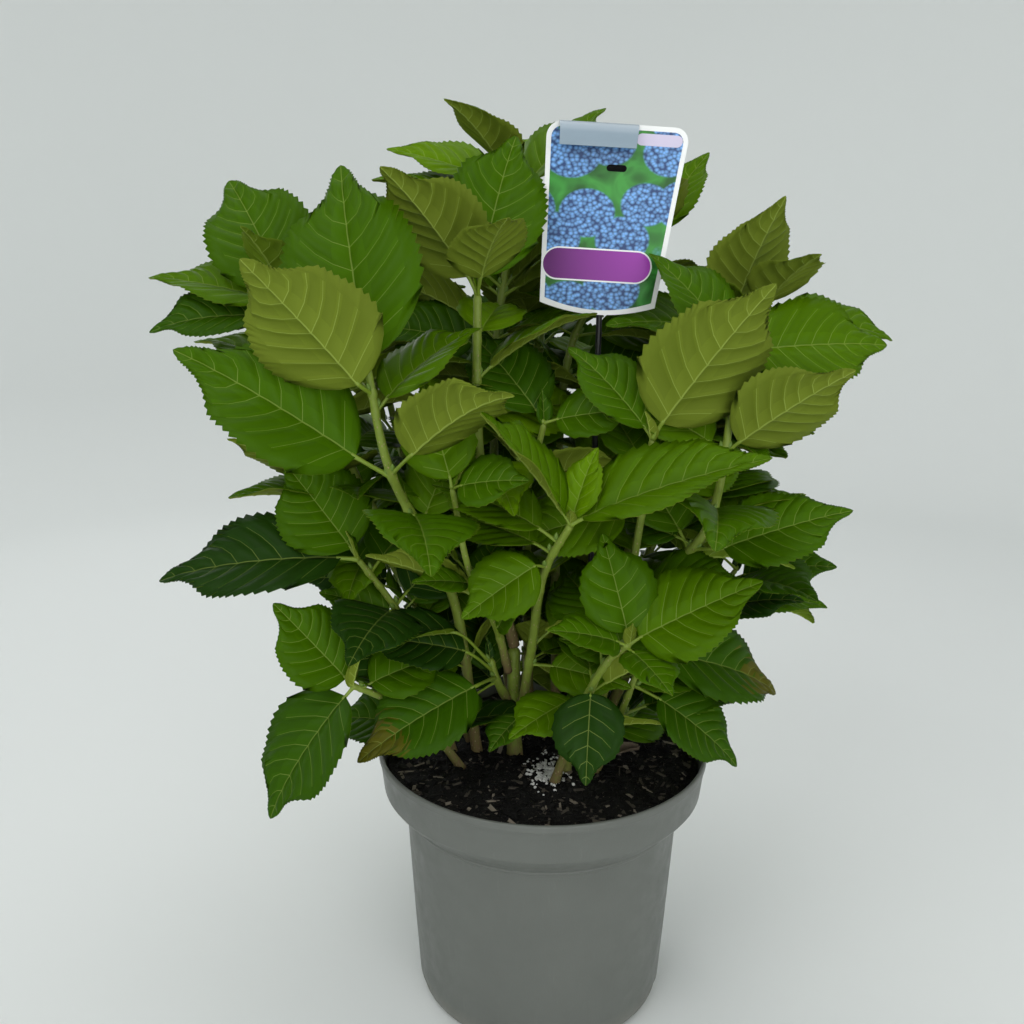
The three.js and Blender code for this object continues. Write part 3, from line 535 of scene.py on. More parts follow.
# What is tried in turn for a leaf that has no room: its turn, its rise and its share of the length.
TRIES = [
    (0, 0, 1), (7, 0, 1), (-7, 0, 1), (0, 7, 1), (0, -7, 1), (12, 6, 1), (-12, -6, 1), (-12, 6, 1),
    (12, -6, 1), (0, 14, 0.92), (0, -14, 0.92), (20, 0, 0.88), (-20, 0, 0.88), (0, 0, 0.78),
    (16, -14, 0.78), (-16, 14, 0.78), (0, -20, 0.7), (0, 20, 0.7), (28, 8, 0.6), (-28, -8, 0.6),
]


def limb_rod(shoot, parts, extra):
    at = [k / parts for k in range(parts + 1)]
    radii = [shoot["r"][0] + (shoot["r"][1] - shoot["r"][0]) * t + extra for t in at]
    return rod([spot(shoot["way"], t) for t in at], radii, 6)


def put(room, leaves, name, row, kind, reach=None, tone=None):
    """Grows one leaf, turned, raised or made smaller until it has room, or skips it."""
    t, heading, up, length, roll, stalk, droop, fold, width = row[:9]
    root = spot(SHOOTS[name]["way"], t)
    for turn, raised, share in TRIES:
        az, rise = heading + turn, up + raised
        way = leaf_frame(row[9] + turn, row[10])[0] if len(row) > 9 else leaf_frame(az, rise + 8)[0]
        base = root + way * stalk
        leaf = {
            "shoot": name, "kind": kind, "tone": tone, "root": root, "at": t, "way": way, "base": base,
            "az": az, "rise": rise, "length": length * share, "roll": roll, "droop": droop, "fold": fold,
            "width": width * LEAF["broad"],
        }
        wide = blade(leaf, LEAF["thick"] + CLEAR["over"], CLEAR["around"])
        if reach is not None and ((wide[0] < reach[0]).any() or (wide[0] > reach[1]).any()):
            continue
        if room.taken(wide, name, kind):
            continue
        if kind == "blade":
            start = root + way * min(STALK["clear"], stalk / 2)
            stem = rod([start, base], [STALK["guard"]] * 2, STALK["sides"])
            if room.taken(stem, name, "stalk"):
                continue
            room.add(name, "stalk", stem)
        room.add(name, "blade", wide)
        leaves.append(leaf)
        return


def pair_leaf(roll, shoot, k, side):
    pairs, first, heading, length, rise = shoot["more"]
    a, b, c, d, e, g, h = [roll() for _ in range(7)]
    f = k / max(1, pairs - 1)
    at = first + (1 - first) * f if pairs > 1 else first
    swell = PAIR["swell"][0] + PAIR["swell"][1] * math.sin(math.pi * (0.2 + 0.6 * f))
    long = PAIR["longer"] * length * swell * (1 - PAIR["vary"] / 2 + PAIR["vary"] * a)
    long *= 1 - PAIR["taper"] * f
    return [
        at, heading + 90 * k + side + (b - 0.5) * PAIR["turn"],
        rise + PAIR["climb"] * f + (c - 0.5) * PAIR["tilt"], long, (d - 0.5) * PAIR["roll"],
        PAIR["stalk"][0] + PAIR["stalk"][1] * e, PAIR["droop"][0] + PAIR["droop"][1] * g,
        PAIR["fold"][0] + PAIR["fold"][1] * h, PAIR["width"],
    ]


def young_leaf(roll, index, side):
    a, b, c = [roll() for _ in range(3)]
    heading = YOUNG["first"] + YOUNG["turn"] * index + side + (a - 0.5) * 20
    long = YOUNG["length"] + YOUNG["spread"] * c
    rise = YOUNG["rise"] + YOUNG["spread"] * b
    return [1, heading, rise, long, 0, -YOUNG["sunk"], YOUNG["droop"], YOUNG["fold"], YOUNG["width"]]


def fine_leaf(roll, t, heading):
    a, b, c, d = [roll() for _ in range(4)]
    return [
        t, heading, FINE["rise"][0] + FINE["rise"][1] * a, FINE["length"][0] + FINE["length"][1] * b,
        FINE["roll"] * (c - 0.5), FINE["stalk"][0] + FINE["stalk"][1] * d, FINE["droop"], FINE["fold"],
        FINE["width"],
    ]


def card_point(x, y, z):
    """A point on the card, from its centre along its width, through it and up it."""
    turn = math.radians(CARD["lean"])
    along, up = np.array([math.cos(turn), 0, math.sin(turn)]), np.array([-math.sin(turn), 0, math.cos(turn)])
    return np.array(CARD["centre"], float) + along * x + np.array([0.0, y, 0.0]) + up * z


def card_room():
    corners = [(x, y, z) for y in (-2, 2.6) for z in (-1, 1) for x in (-1, 1)]
    v = [card_point(x * (CARD["top"] / 2 + 1), y, z * (CARD["high"] / 2 + 3)) for x, y, z in corners]
    t = [(0, 1, 3), (0, 3, 2), (4, 7, 5), (4, 6, 7), (0, 5, 1), (0, 4, 5)]
    t += [(2, 3, 7), (2, 7, 6), (0, 2, 6), (0, 6, 4), (1, 5, 7), (1, 7, 3)]
    return np.array(v), np.array(t)


def pot_room():
    outline, sides = [(0.01, 129), (79, 129), (79, 138), (87.5, 138), (87.5, 0)], 32
    turns = [2 * math.pi * k / sides for k in range(sides)]
    v = [(r * math.cos(a), r * math.sin(a), z) for r, z in outline for a in turns]
    return np.array(v), np.array(ring_faces(len(outline), sides))


@cache
def crown():
    """All leaves: the part's in its order, then those placed one by one, then the smaller ones of finer
    twigs, set on the shoots.
    """
    room, leaves = Room(), []
    room.add("", "blade", pot_room())
    room.add("", "blade", card_room())
    foot, head = (np.array(STICK[end], float) for end in ("foot", "head"))
    room.add("", "blade", rod([foot, head], [2.4, 2.4], 4))
    for name, shoot in SHOOTS.items():
        room.add(name, "stem", limb_rod(shoot, 10, 0.5))
    room.add("trunk", "stem", limb_rod(TRUNK, 10, 0.5))
    for name, shoot in SHOOTS.items():
        for row in shoot["leaves"]:
            put(room, leaves, name, row, "blade")
    for index, (name, shoot) in enumerate(SHOOTS.items()):
        roll = dice(SEED + index * CLEAR["step"])
        for k in range(shoot["more"][0]):
            for side in (0, 180):
                put(room, leaves, name, pair_leaf(roll, shoot, k, side), "blade")
        for side in (0, 180):
            put(room, leaves, name, young_leaf(roll, index, side), "young")
    low, high = (np.array(corner) / MM for corner in CAD_BOX)
    reach = (low + 1, high - 1)
    for name, tone, row in PLACED:
        put(room, leaves, name, row, "blade", reach, tone)
    for index, (name, shoot) in enumerate(SHOOTS.items()):
        roll = dice(SEED * 7 + index * CLEAR["step"])
        for k in range(FINE["pairs"]):
            t = FINE["from"] + (FINE["to"] - FINE["from"]) * (k + FINE["loose"] * roll()) / FINE["pairs"]
            root = spot(shoot["way"], t)
            heading = 360 * roll()
            for side in (0, 180):
                row = fine_leaf(roll, t, heading + side)
                tip = root + leaf_frame(row[1], row[2])[0] * (row[3] + row[5])
                if tip[1] > FINE["behind"] and name not in FINE["bare"]:
                    put(room, leaves, name, row, "blade", reach)
    return leaves


# Leaves in full: a closed blade with a toothed margin, sunken veins above and raised ones below.
# For leaves from these lengths on: pairs of side veins, rows between two veins, and columns of one half.
GRIDS = [
    (48, 8, 5, (0, 0.035, 0.25, 0.5, 0.76, 1)),
    (21, 6, 3, (0, 0.05, 0.4, 0.72, 1)),
    (0, 4, 1, (0, 0.1, 0.6, 1)),
]
RELIEF = {
    "vein": 0.2, "midrib": 0.42, "quilt": 0.02, "groove": 0.6, "wave": 0.028, "tooth": 0.0155, "thick": 0.32,
    "ridge": 0.22, "keel": 1.0, "twist": 12, "curl": 16, "forward": 0.92, "swell": 1.25,
}
TOP, UNDER, TOP_VEIN, UNDER_VEIN, TOP_NEAR, UNDER_NEAR = range(6)


def leaf_rows(veins, between):
    """Rows from base to tip: place, side of a vein (or 0), tooth (out or in) and bulge between veins."""
    first, last = 0.07, 0.9
    gap = (last - first) / (veins - 1)
    rows = [(0.003, 0, 0, 0), (0.012, 0, 0, 0), (0.035, 0, 0, 0)]
    for vein in range(veins):
        place = first + vein * gap
        rows += [(place, -1, 1, 0), (place, 1, 1, 0)]
        if vein < veins - 1:
            for k in range(1, between + 1):
                share = k / (between + 1)
                rows.append((place + gap * share, 0, -0.6 if k % 2 else 1, math.sin(math.pi * share)))
    rows += [(0.935, 0, -0.5, 0.3), (0.962, 0, 0.6, 0), (0.985, 0, 0, 0)]
    return np.array(rows)


def leaf_faces(rows, columns):
    """Triangles of a leaf and what each belongs to. Points: the upper grid, the lower grid, base, tip."""
    n, m = len(rows), len(columns)
    base, tip = 2 * n * m, 2 * n * m + 1
    middle = m // 2
    faces, kinds = [], []
    for r in range(n - 1):
        vein_row = rows[r][1] == -1
        beside = rows[r][1] == 1 or rows[r + 1][1] == -1
        for c in range(m - 1):
            rib = c in (middle - 1, middle)
            vein = rib or (vein_row and 0 < c < m - 2)
            a, b = r * m + c, (r + 1) * m + c
            faces += [(a, a + 1, b + 1), (a, b + 1, b)]
            near = c in (middle - 2, middle + 1) or (beside and 0 < c < m - 2)
            kinds += [TOP_VEIN if vein else TOP_NEAR if near else TOP] * 2
            a, b = a + n * m, b + n * m
            faces += [(a, b + 1, a + 1), (a, b, b + 1)]
            kinds += [UNDER_VEIN if vein else UNDER_NEAR if near else UNDER] * 2
        for c, flip in ((0, False), (m - 1, True)):
            a, b = r * m + c, (r + 1) * m + c
            rim = [(a, b, b + n * m), (a, b + n * m, a + n * m)]
            faces += [f[::-1] for f in rim] if flip else rim
            kinds += [UNDER] * 2
    for c in range(m - 1):
        low, high = n * m, (n - 1) * m
        kind = (TOP_VEIN, UNDER_VEIN) if c in (middle - 1, middle) else (TOP, UNDER)
        faces += [(base, c + 1, c), (base, low + c, low + c + 1)]
        faces += [(tip, high + c, high + c + 1), (tip, low + high + c + 1, low + high + c)]
        kinds += [kind[0], kind[1]] * 2
    for r, end, flip in ((0, base, False), (n - 1, tip, True)):
        for c, turned in ((0, False), (m - 1, True)):
            f = (end, r * m + c, n * m + r * m + c)
            faces.append(f[::-1] if flip != turned else f)
            kinds.append(UNDER)
    return np.array(faces), np.array(kinds)


def leaf_patterns():
    """For each grid: its least length, rows, columns, triangles and their kinds."""
    made = []
    for least, veins, between, half in GRIDS:
        rows = leaf_rows(veins, between)
        columns = np.array([-v for v in half[:0:-1]] + list(half))
        made.append((least, rows, columns, *leaf_faces(rows, columns)))
    return made


def outline(u):
    """Half of a full leaf's width at share u of its length: broad, with a short drawn-out tip."""
    tip = 1 - 0.42 * np.sin(math.pi * np.clip((u - 0.7) / 0.3, 0, 1))
    return u**0.6 * (1 - u) ** 0.95 / 0.3554 * tip


def full_leaf(leaf, pattern, chance):
    """Points of one leaf, in millimetres."""
    _, rows, columns, _, _ = pattern
    length = leaf["length"]
    along, side, face = leaf_frame(leaf["az"], leaf["rise"], leaf["roll"])
    s, vein, tooth, bulge = (rows[:, i][:, None] for i in range(4))
    v = columns[None, :]
    width = np.abs(v)
    s = s + vein * RELIEF["vein"] / length * (1 - 0.75 * width)
    u = s + RELIEF["forward"] * s**0.6 * (1 - s) ** 1.3 * width ** RELIEF["swell"]
    gap = np.gradient(u, axis=0)
    room = np.clip(gap * length / 1.3, 0, 1)
    edge = (width == 1) * np.clip((u - 0.06) / 0.12, 0, 1) * np.clip((1 - u) / 0.12, 0, 1) * room
    u = np.clip(u + 0.55 * gap * (width == 1) * (tooth > 0), 0, 0.997)
    half = length * leaf["width"] / 2 * outline(u)
    rib = np.minimum(RELIEF["midrib"] * (1 - 0.55 * u) * math.sqrt(length / 70), 0.45 * half)
    inner = width == np.sort(np.unique(width))[1]
    x = np.where(inner, np.sign(v) * rib, v * half)
    x = x + np.sign(v) * edge * tooth * RELIEF["tooth"] * length
    fold = math.radians(leaf["fold"])
    wave = [chance.uniform(0, 2 * math.pi) for _ in range(2)]
    turns = chance.uniform(1.2, 2.0)
    ripples = [np.sin(2 * math.pi * turns * s + start) for start in wave]
    ripple = np.where(v < 0, *ripples)
    height = np.abs(x) * math.sin(fold) * (1 - 0.3 * width)
    height = height + bulge * RELIEF["quilt"] * length * np.sqrt(width) * (1 - width**3) * 1.3
    height = height + RELIEF["wave"] * length * ripple * width**2 * np.clip(half * 4 / length, 0, 1)
    height = height - RELIEF["groove"] * np.clip(1 - width / 0.16, 0, 1) * (1 - 0.6 * u)
    thick = RELIEF["thick"] * (1 - 0.5 * (width == 1)) + (vein != 0) * RELIEF["ridge"] * (1 - width)
    thick = thick + RELIEF["keel"] * (1 - 0.75 * u) * ((width == 0) + 0.55 * inner) * math.sqrt(length / 70)

    steps = np.linspace(0, 1, 33)
    curl = math.radians(chance.uniform(-0.3, 1) * RELIEF["curl"])
    bend = 2 * math.radians(leaf["droop"]) * steps + curl * steps**3
    ahead = np.concatenate([[0], np.cumsum((np.cos(bend[1:]) + np.cos(bend[:-1])) / 2) / 32])
    down = np.concatenate([[0], np.cumsum((np.sin(bend[1:]) + np.sin(bend[:-1])) / 2) / 32])
    twist = math.radians(chance.uniform(-1, 1) * RELIEF["twist"])

    def place(u, x, h):
        angle = np.interp(u, steps, bend)[..., None]
        up = face * np.cos(angle) + along * np.sin(angle)
        spin = (twist * u)[..., None]
        across = side * np.cos(spin) + up * np.sin(spin)
        lift = up * np.cos(spin) - side * np.sin(spin)
        line = along * np.interp(u, steps, ahead)[..., None] - face * np.interp(u, steps, down)[..., None]
        return leaf["base"] + line * length + across * x[..., None] + lift * h[..., None]

    upper, lower = place(u, x * math.cos(fold), height), place(u, x * math.cos(fold), height - thick)
    ends = place(np.array([0.0, 0.998]), np.zeros(2), np.array([-0.4, 0.0]))
    return np.concatenate([upper.reshape(-1, 3), lower.reshape(-1, 3), ends])


def array_object(name, points, faces, slots, materials, smooth=True, **attributes):
    """One object from arrays: points in millimetres, triangles, and each one's slot."""
    mesh = bpy.data.meshes.new(name)
    points, faces = np.asarray(points, np.float32) * MM, np.asarray(faces, np.int32)
    mesh.vertices.add(len(points))
    mesh.vertices.foreach_set("co", points.ravel())
    mesh.loops.add(faces.size)
    mesh.loops.foreach_set("vertex_index", faces.ravel())
    mesh.polygons.add(len(faces))
    mesh.polygons.foreach_set("loop_start", np.arange(0, faces.size, 3, dtype=np.int32))
    mesh.polygons.foreach_set("material_index", np.asarray(slots, np.int32))
    mesh.polygons.foreach_set("use_smooth", np.full(len(faces), smooth))
    mesh.update(calc_edges=True)
    for key, values in attributes.items():
        mesh.attributes.new(key, "FLOAT", "POINT").data.foreach_set("value", np.asarray(values, np.float32))
    for material in materials:
        mesh.materials.append(material)
    piece = bpy.data.objects.new(name, mesh)
    bpy.context.scene.collection.objects.link(piece)
    return piece


def joined(parts):
    """Several (points, faces, slots) as one."""
    starts = np.cumsum([0] + [len(points) for points, _, _ in parts[:-1]])
    points = np.concatenate([points for points, _, _ in parts])
    faces = np.concatenate([faces + start for (_, faces, _), start in zip(parts, starts)])
    return points, faces, np.concatenate([slots for _, _, slots in parts])


def finish(piece, slot, *nodes):
    """The piece moves with the plant and stands for these solids; its slot is not used."""
    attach(piece, "root")
    if nodes:
        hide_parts(*nodes)
    return piece


def tube(points, radii, sides, relief=None):
    """A round limb through points, closed at both ends: (points, triangles)."""
    rings, last = [], len(points) - 1
    turn = 2 * np.pi * np.arange(sides) / sides
    for i, p in enumerate(points):
        a, b = square_to(points, i)
        r = radii[i] * (relief(turn, i) if relief else np.ones(sides))
        rings.append(p + (a * np.cos(turn)[:, None] + b * np.sin(turn)[:, None]) * r[:, None])
    v = np.concatenate(rings + [points[:1], points[-1:]])
    t, m = ring_faces(last + 1, sides), last * sides
    foot, head = len(v) - 2, len(v) - 1
    for k in range(sides):
        t += [(foot, (k + 1) % sides, k), (head, m + k, m + (k + 1) % sides)]
    return v, np.array(t)


def plain(v, t):
    """The same with the first material slot for all its faces."""
    return v, t, np.zeros(len(t))


def rooted(shoot):
    """Whether a stem comes up out of the compost."""
    return shoot["way"][0][2] < SOIL_TOP + 3


def stem(shoot, nodes, woody, seed):
    """A stem with its bark: lengthwise ridges, a swelling at each leaf scar, a flared foot in the compost."""
    way = shoot["way"]
    long = sum(np.linalg.norm(spot(way, (k + 1) / 20) - spot(way, k / 20)) for k in range(20))
    steps = max(4, int(long / BARK["step"]))
    at = [k / steps for k in range(steps + 1)]
    low = rooted(shoot)
    radii = []
    for t in at:
        r = shoot["r"][0] + (shoot["r"][1] - shoot["r"][0]) * t
        knots = sum(math.exp(-(((t - node) * long / BARK["knot_long"]) ** 2)) for node in nodes)
        flare = math.exp(-t * long / BARK["flare_long"]) if low else 0
        radii.append(r + BARK["knot"] * min(knots, BARK["knots"]) + BARK["flare"] * flare)
    radii[-1] *= BARK["end"]

    def relief(turn, i):
        ridge = [noise.noise(Vector((1.6 * math.cos(a), 1.6 * math.sin(a), i * 0.09 + seed))) for a in turn]
        fine = [noise.noise(Vector((4 * math.cos(a), 4 * math.sin(a), i * 0.5 + seed))) for a in turn]
        depth = 0.02 + 0.1 * woody * (1 - at[i])
        return 1 + depth * np.array(ridge) + 0.5 * depth * np.array(fine)

    points = np.array([spot(way, t) for t in at])
    if low:
        points, radii, at = points[1:], radii[1:], at[1:]
    sides = BARK["sides"]
    v, t = tube(points, radii, sides, relief)
    return v, t, 1 - np.append(np.repeat(at, sides), [at[0], at[-1]])


def stalk(leaf):
    """A leaf's stalk, on a curve from the stem to the blade's keel."""
    size = min(1.1, max(0.5, math.sqrt(leaf["length"] / 70)))
    along = leaf_frame(leaf["az"], leaf["rise"])[0]
    face = leaf_frame(leaf["az"], leaf["rise"], leaf["roll"])[2]
    start, end = leaf["root"], leaf["base"] + along * 2.2 * size - face * 0.75 * size
    reach = np.linalg.norm(end - start)
    points = []
    for k in range(STALK["steps"]):
        f = k / (STALK["steps"] - 1)
        h = (2 * f**3 - 3 * f**2 + 1, f**3 - 2 * f**2 + f, 3 * f**2 - 2 * f**3, f**3 - f**2)
        points.append(start * h[0] + (end - start) * h[1] + end * h[2] + along * reach * 0.8 * h[3])
    radii = [size * (0.86 + 0.75 * math.exp(-k * 0.9) + 0.12 * (k == 6)) for k in range(STALK["steps"])]
    return tube(np.array(points), radii, 8)


def bud(leaf, stem_way):
    """The small bud in a leaf's axil."""
    out = leaf["way"] * 0.5 + stem_way
    out = out / np.linalg.norm(out)
    foot = leaf["root"] + leaf["way"] * 2.0 + stem_way * 1.0
    points = np.array([foot + out * d for d in (0, 0.9, 2.0, 3.0, 3.8)])
    return tube(points, [0.9, 1.25, 1.2, 0.7, 0.15], 7)


# Finishes.
class Finish:
    """A material on Blender's main shader, given its colour, gloss and relief node by node."""

    def __init__(self, name, color, roughness=0.5, specular=0.5, coat=0.0):
        self.material = bpy.data.materials.new(name)
        self.material.use_nodes = True
        self.material.diffuse_color = (*color, 1)
        self.tree = self.material.node_tree
        self.shader = self.tree.nodes["Principled BSDF"]
        self.shader.inputs["Base Color"].default_value = (*color, 1)
        self.shader.inputs["Roughness"].default_value = roughness
        self.shader.inputs["Specular IOR Level"].default_value = specular
        self.shader.inputs["Coat Weight"].default_value = coat
        self.shader.inputs["Coat Roughness"].default_value = 0.12

    def fill(self, socket, value):
        if isinstance(value, bpy.types.NodeSocket):
            self.tree.links.new(value, socket)
        else:
            socket.default_value = (*value, 1) if socket.type == "RGBA" and len(value) == 3 else value

    def node(self, kind, inputs=(), **settings):
        made = self.tree.nodes.new("ShaderNode" + kind)
        for key, value in settings.items():
            setattr(made, key, value)
        for key, value in dict(inputs).items():
            self.fill(made.inputs[key], value)
        return made

    def place(self, stretch=(1, 1, 1), move=(0, 0, 0)):
        """Object coordinates, stretched and moved."""
        at = self.node("TexCoord").outputs["Object"]
        inputs = {"Vector": at, "Scale": stretch, "Location": move}
        return self.node("Mapping", inputs).outputs["Vector"]

    def noise(self, scale, detail=3.0, rough=0.5, at=None, warp=0.0):
        inputs = {"Vector": at or self.place(), "Scale": scale, "Detail": detail, "Roughness": rough}
        return self.node("TexNoise", {**inputs, "Distortion": warp}).outputs["Fac"]

    def cells(self, scale, at=None, random_share=1.0):
        inputs = {"Vector": at or self.place(), "Scale": scale, "Randomness": random_share}
        return self.node("TexVoronoi", inputs).outputs["Distance"]

    def span(self, value, low, high, to_low=0.0, to_high=1.0):
        inputs = {"Value": value, "From Min": low, "From Max": high, "To Min": to_low, "To Max": to_high}
        return self.node("MapRange", inputs, clamp=True).outputs["Result"]

    def math(self, operation, a, b=0.0):
        return self.node("Math", {0: a, 1: b}, operation=operation).outputs["Value"]

    def mix(self, share, a, b):
        return self.node("Mix", {0: share, 6: a, 7: b}, data_type="RGBA").outputs[2]

    def along(self, axis):
        at = self.node("TexCoord").outputs["Object"]
        return self.node("SeparateXYZ", {"Vector": at}).outputs[axis]

    def color(self, value):
        self.fill(self.shader.inputs["Base Color"], value)
        return self

    def gloss(self, value):
        self.fill(self.shader.inputs["Roughness"], value)
        return self

    def bump(self, value, depth, strength=1.0):
        """Relief of this depth in millimetres."""
        inputs = {"Height": value, "Distance": depth * MM, "Strength": strength}
        self.fill(self.shader.inputs["Normal"], self.node("Bump", inputs).outputs["Normal"])
        return self


def linear(*rgb):
    """Screen colour from 0 to 255 as light."""
    return tuple((c / 255 / 12.92) if c < 10.3 else ((c / 255 + 0.055) / 1.055) ** 2.4 for c in rgb)


def shade(color, share):
    return tuple(min(1.0, c * share) for c in color)


def leaf_materials(s):
    """One plain colour for each kind of face of each kind of leaf."""
    colors = {name: getattr(s, name)[:3] for name in TONES + UNDERS}
    for name in TONES + UNDERS:
        under = name in UNDERS
        share = s.vein_share * (1.6 if under else 1)
        colors[name + "_near"] = shade(colors[name], 1.1 if under else 1.14)
        colors[name + "_vein"] = [c * (1 - share) + v * share for c, v in zip(colors[name], s.vein)]
    made = []
    for name in LEAF_SLOTS:
        gloss = (0.62, 0.08) if name.startswith("under") else (s.roughness, s.shine)
        made.append(Finish("leaf_" + name, colors[name], *gloss).material)
    return made


def bark_material(s):
    """Green bark above, turning to tan and brown with pale specks below."""
    f = Finish("bark", s.green, 0.55, 0.4)
    age = f.node("Attribute", attribute_name="age").outputs["Fac"]
    streaks = f.noise(900, 4, 0.6, f.place((1, 1, 0.25)))
    woody = f.span(f.math("ADD", age, f.math("MULTIPLY", f.math("SUBTRACT", streaks, 0.5), 0.5)), 0.7, 0.98)
    green = f.mix(f.noise(260, 2), s.green[:3], shade(s.green[:3], 1.5))
    brown = f.mix(streaks, shade(s.brown[:3], 0.6), shade(s.brown[:3], 1.35))
    specks = f.span(f.cells(520, f.place((1, 1, 0.6))), 0.14, 0.2, 1, 0)
    tone = f.mix(f.math("MULTIPLY", specks, 0.6), f.mix(woody, green, brown), s.speck[:3])
    f.color(tone).gloss(f.span(woody, 0, 1, 0.45, 0.8))
    relief = f.math("ADD", streaks, f.math("MULTIPLY", specks, 0.8))
    return f.bump(relief, 0.25).material


def pot_material(s):
    """Moulded plastic: satin, slightly mottled, dusty in the recesses, fine scratches."""
    f = Finish("pot_plastic", s.color[:3], 0.42, 0.5)
    mottle = f.noise(34, 4, 0.55)
    scuff = f.span(f.noise(260, 5, 0.7, f.place((1, 1, 0.12))), 0.6, 0.78)
    dust = f.math("MULTIPLY", f.span(f.along("Z"), 0.0, 0.012, 1, 0), f.noise(120, 4))
    base = f.mix(mottle, shade(s.color[:3], 0.9), shade(s.color[:3], 1.1))
    base = f.mix(f.math("MULTIPLY", scuff, 0.35), base, shade(s.color[:3], 1.5))
    base = f.mix(f.math("MULTIPLY", dust, 0.5), base, s.dust[:3])
    f.color(base).gloss(f.span(f.noise(90, 5, 0.6), 0.3, 0.7, 0.36, 0.56))
    grain = f.math("ADD", f.noise(1500, 2), f.math("MULTIPLY", f.noise(120, 3), 1.5))
    return f.bump(grain, 0.06).material


def soil_material(s):
    f = Finish("compost", s.color[:3], 0.9, 0.25)
    crumbs = f.noise(420, 6, 0.7)
    base = f.mix(f.span(crumbs, 0.35, 0.65), shade(s.color[:3], 0.4), shade(s.color[:3], 1.5))
    f.color(f.mix(f.span(f.noise(900, 3), 0.62, 0.74), base, s.fibre[:3]))
    return f.bump(f.math("ADD", crumbs, f.noise(1400, 4)), 0.8).material


def chip_materials(s):
    tones = {"chip_black": shade(s.color[:3], 0.6), "chip_dark": shade(s.color[:3], 1.6),
             "chip_brown": shade(s.fibre[:3], 0.5), "chip_tan": shade(s.fibre[:3], 1.6)}
    return [Finish(name, tone, 0.85, 0.25).material for name, tone in tones.items()]


def granule_material(s):
    f = Finish("granule", s.granule[:3], 0.7, 0.3)
    f.color(f.mix(f.noise(600, 3), shade(s.granule[:3], 0.75), s.granule[:3]))
    return f.bump(f.noise(1800, 3), 0.2).material


def dry_material(s):
    f = Finish("dry_leaf", s.dry[:3], 0.8, 0.2)
    f.color(f.mix(f.noise(300, 5, 0.7), shade(s.dry[:3], 0.45), s.dry[:3]))
    return f.bump(f.noise(700, 4), 0.3).material


def glossy(name, color):
    """Coated card: a faint mottle and waviness under a clear gloss."""
    f = Finish(name, color, 0.3, 0.5, 0.5)
    f.color(f.mix(f.noise(90, 3), shade(color, 0.96), shade(color, 1.04)))
    return f.bump(f.noise(60, 2), 0.12, 0.6).material


def picture_material(s):
    """A plain design of soft blue rounds on banded greens."""
    f = Finish("card_picture", s.leafy[:3], 0.3, 0.2, 0.12)
    at = f.place((1, 0, 1.2), move=(0, 0.0125, 0))
    bands = f.span(f.noise(55, 2, 0.5, at, 1.2), 0.35, 0.65)
    greens = f.mix(bands, shade(s.leafy[:3], 0.4), shade(s.leafy[:3], 1.2))
    rounds = f.cells(40, at, 0.75)
    spots = f.span(f.cells(520, at), 0.2, 0.75)
    blues = f.mix(spots, shade(s.petal[:3], 1.7), shade(s.petal[:3], 0.25))
    f.color(f.mix(f.span(rounds, 0.52, 0.56, 1, 0), greens, blues))
    return f.bump(f.noise(60, 2), 0.12, 0.6).material


def band_material(s):
    f = Finish("card_band", s.band[:3], 0.3, 0.2, 0.12)
    f.color(f.mix(f.span(f.along("X"), 0.0, 0.05), shade(s.band[:3], 0.55), shade(s.band[:3], 1.7)))
    return f.bump(f.noise(60, 2), 0.12, 0.6).material


def stick_material(s):
    f = Finish("stick_plastic", s.stick[:3], 0.4, 0.5)
    f.color(f.mix(f.noise(200, 4), shade(s.stick[:3], 0.8), shade(s.stick[:3], 1.6)))
    return f.bump(f.noise(1200, 2), 0.05).material


# Modelling by hand, one piece at a time.
def fresh():
    bpy.ops.object.select_all(action="DESELECT")


def edit_faces(piece, wanted):
    """Goes into face mode with the faces selected whose centre passes the test."""
    bpy.ops.object.mode_set(mode="EDIT")
    bpy.ops.mesh.select_mode(type="FACE")
    bpy.ops.mesh.select_all(action="DESELECT")
    bpy.ops.object.mode_set(mode="OBJECT")
    for face in piece.data.polygons:
        face.select = wanted(face)
    bpy.ops.object.mode_set(mode="EDIT")


def named(name):
    """The object just added, with its name."""
    piece = bpy.context.object
    piece.name = piece.data.name = name
    return piece


def disc(name, sides, radius, place):
    """A flat disc in edit mode, to be drawn out into a body."""
    fresh()
    bpy.ops.mesh.primitive_circle_add(vertices=sides, radius=radius * MM, fill_type="NGON", location=place)
    piece = named(name)
    bpy.ops.object.mode_set(mode="EDIT")
    bpy.ops.mesh.select_all(action="SELECT")
    return piece


def turned(name, outline, sides):
    """A round body from a disc, extruded and resized ring by ring along its outline."""
    radius, z = outline[0]
    piece = disc(name, sides, radius, (0, 0, z * MM))
    for r, height in outline[1:]:
        bpy.ops.mesh.extrude_region_move(TRANSFORM_OT_translate={"value": (0, 0, (height - z) * MM)})
        if abs(r - radius) > 1e-6:
            bpy.ops.transform.resize(value=(r / radius, r / radius, 1), center_override=(0, 0, height * MM))
        radius, z = r, height
    bpy.ops.object.mode_set(mode="OBJECT")
    bpy.ops.object.transform_apply(location=True, rotation=True, scale=True)
    return piece


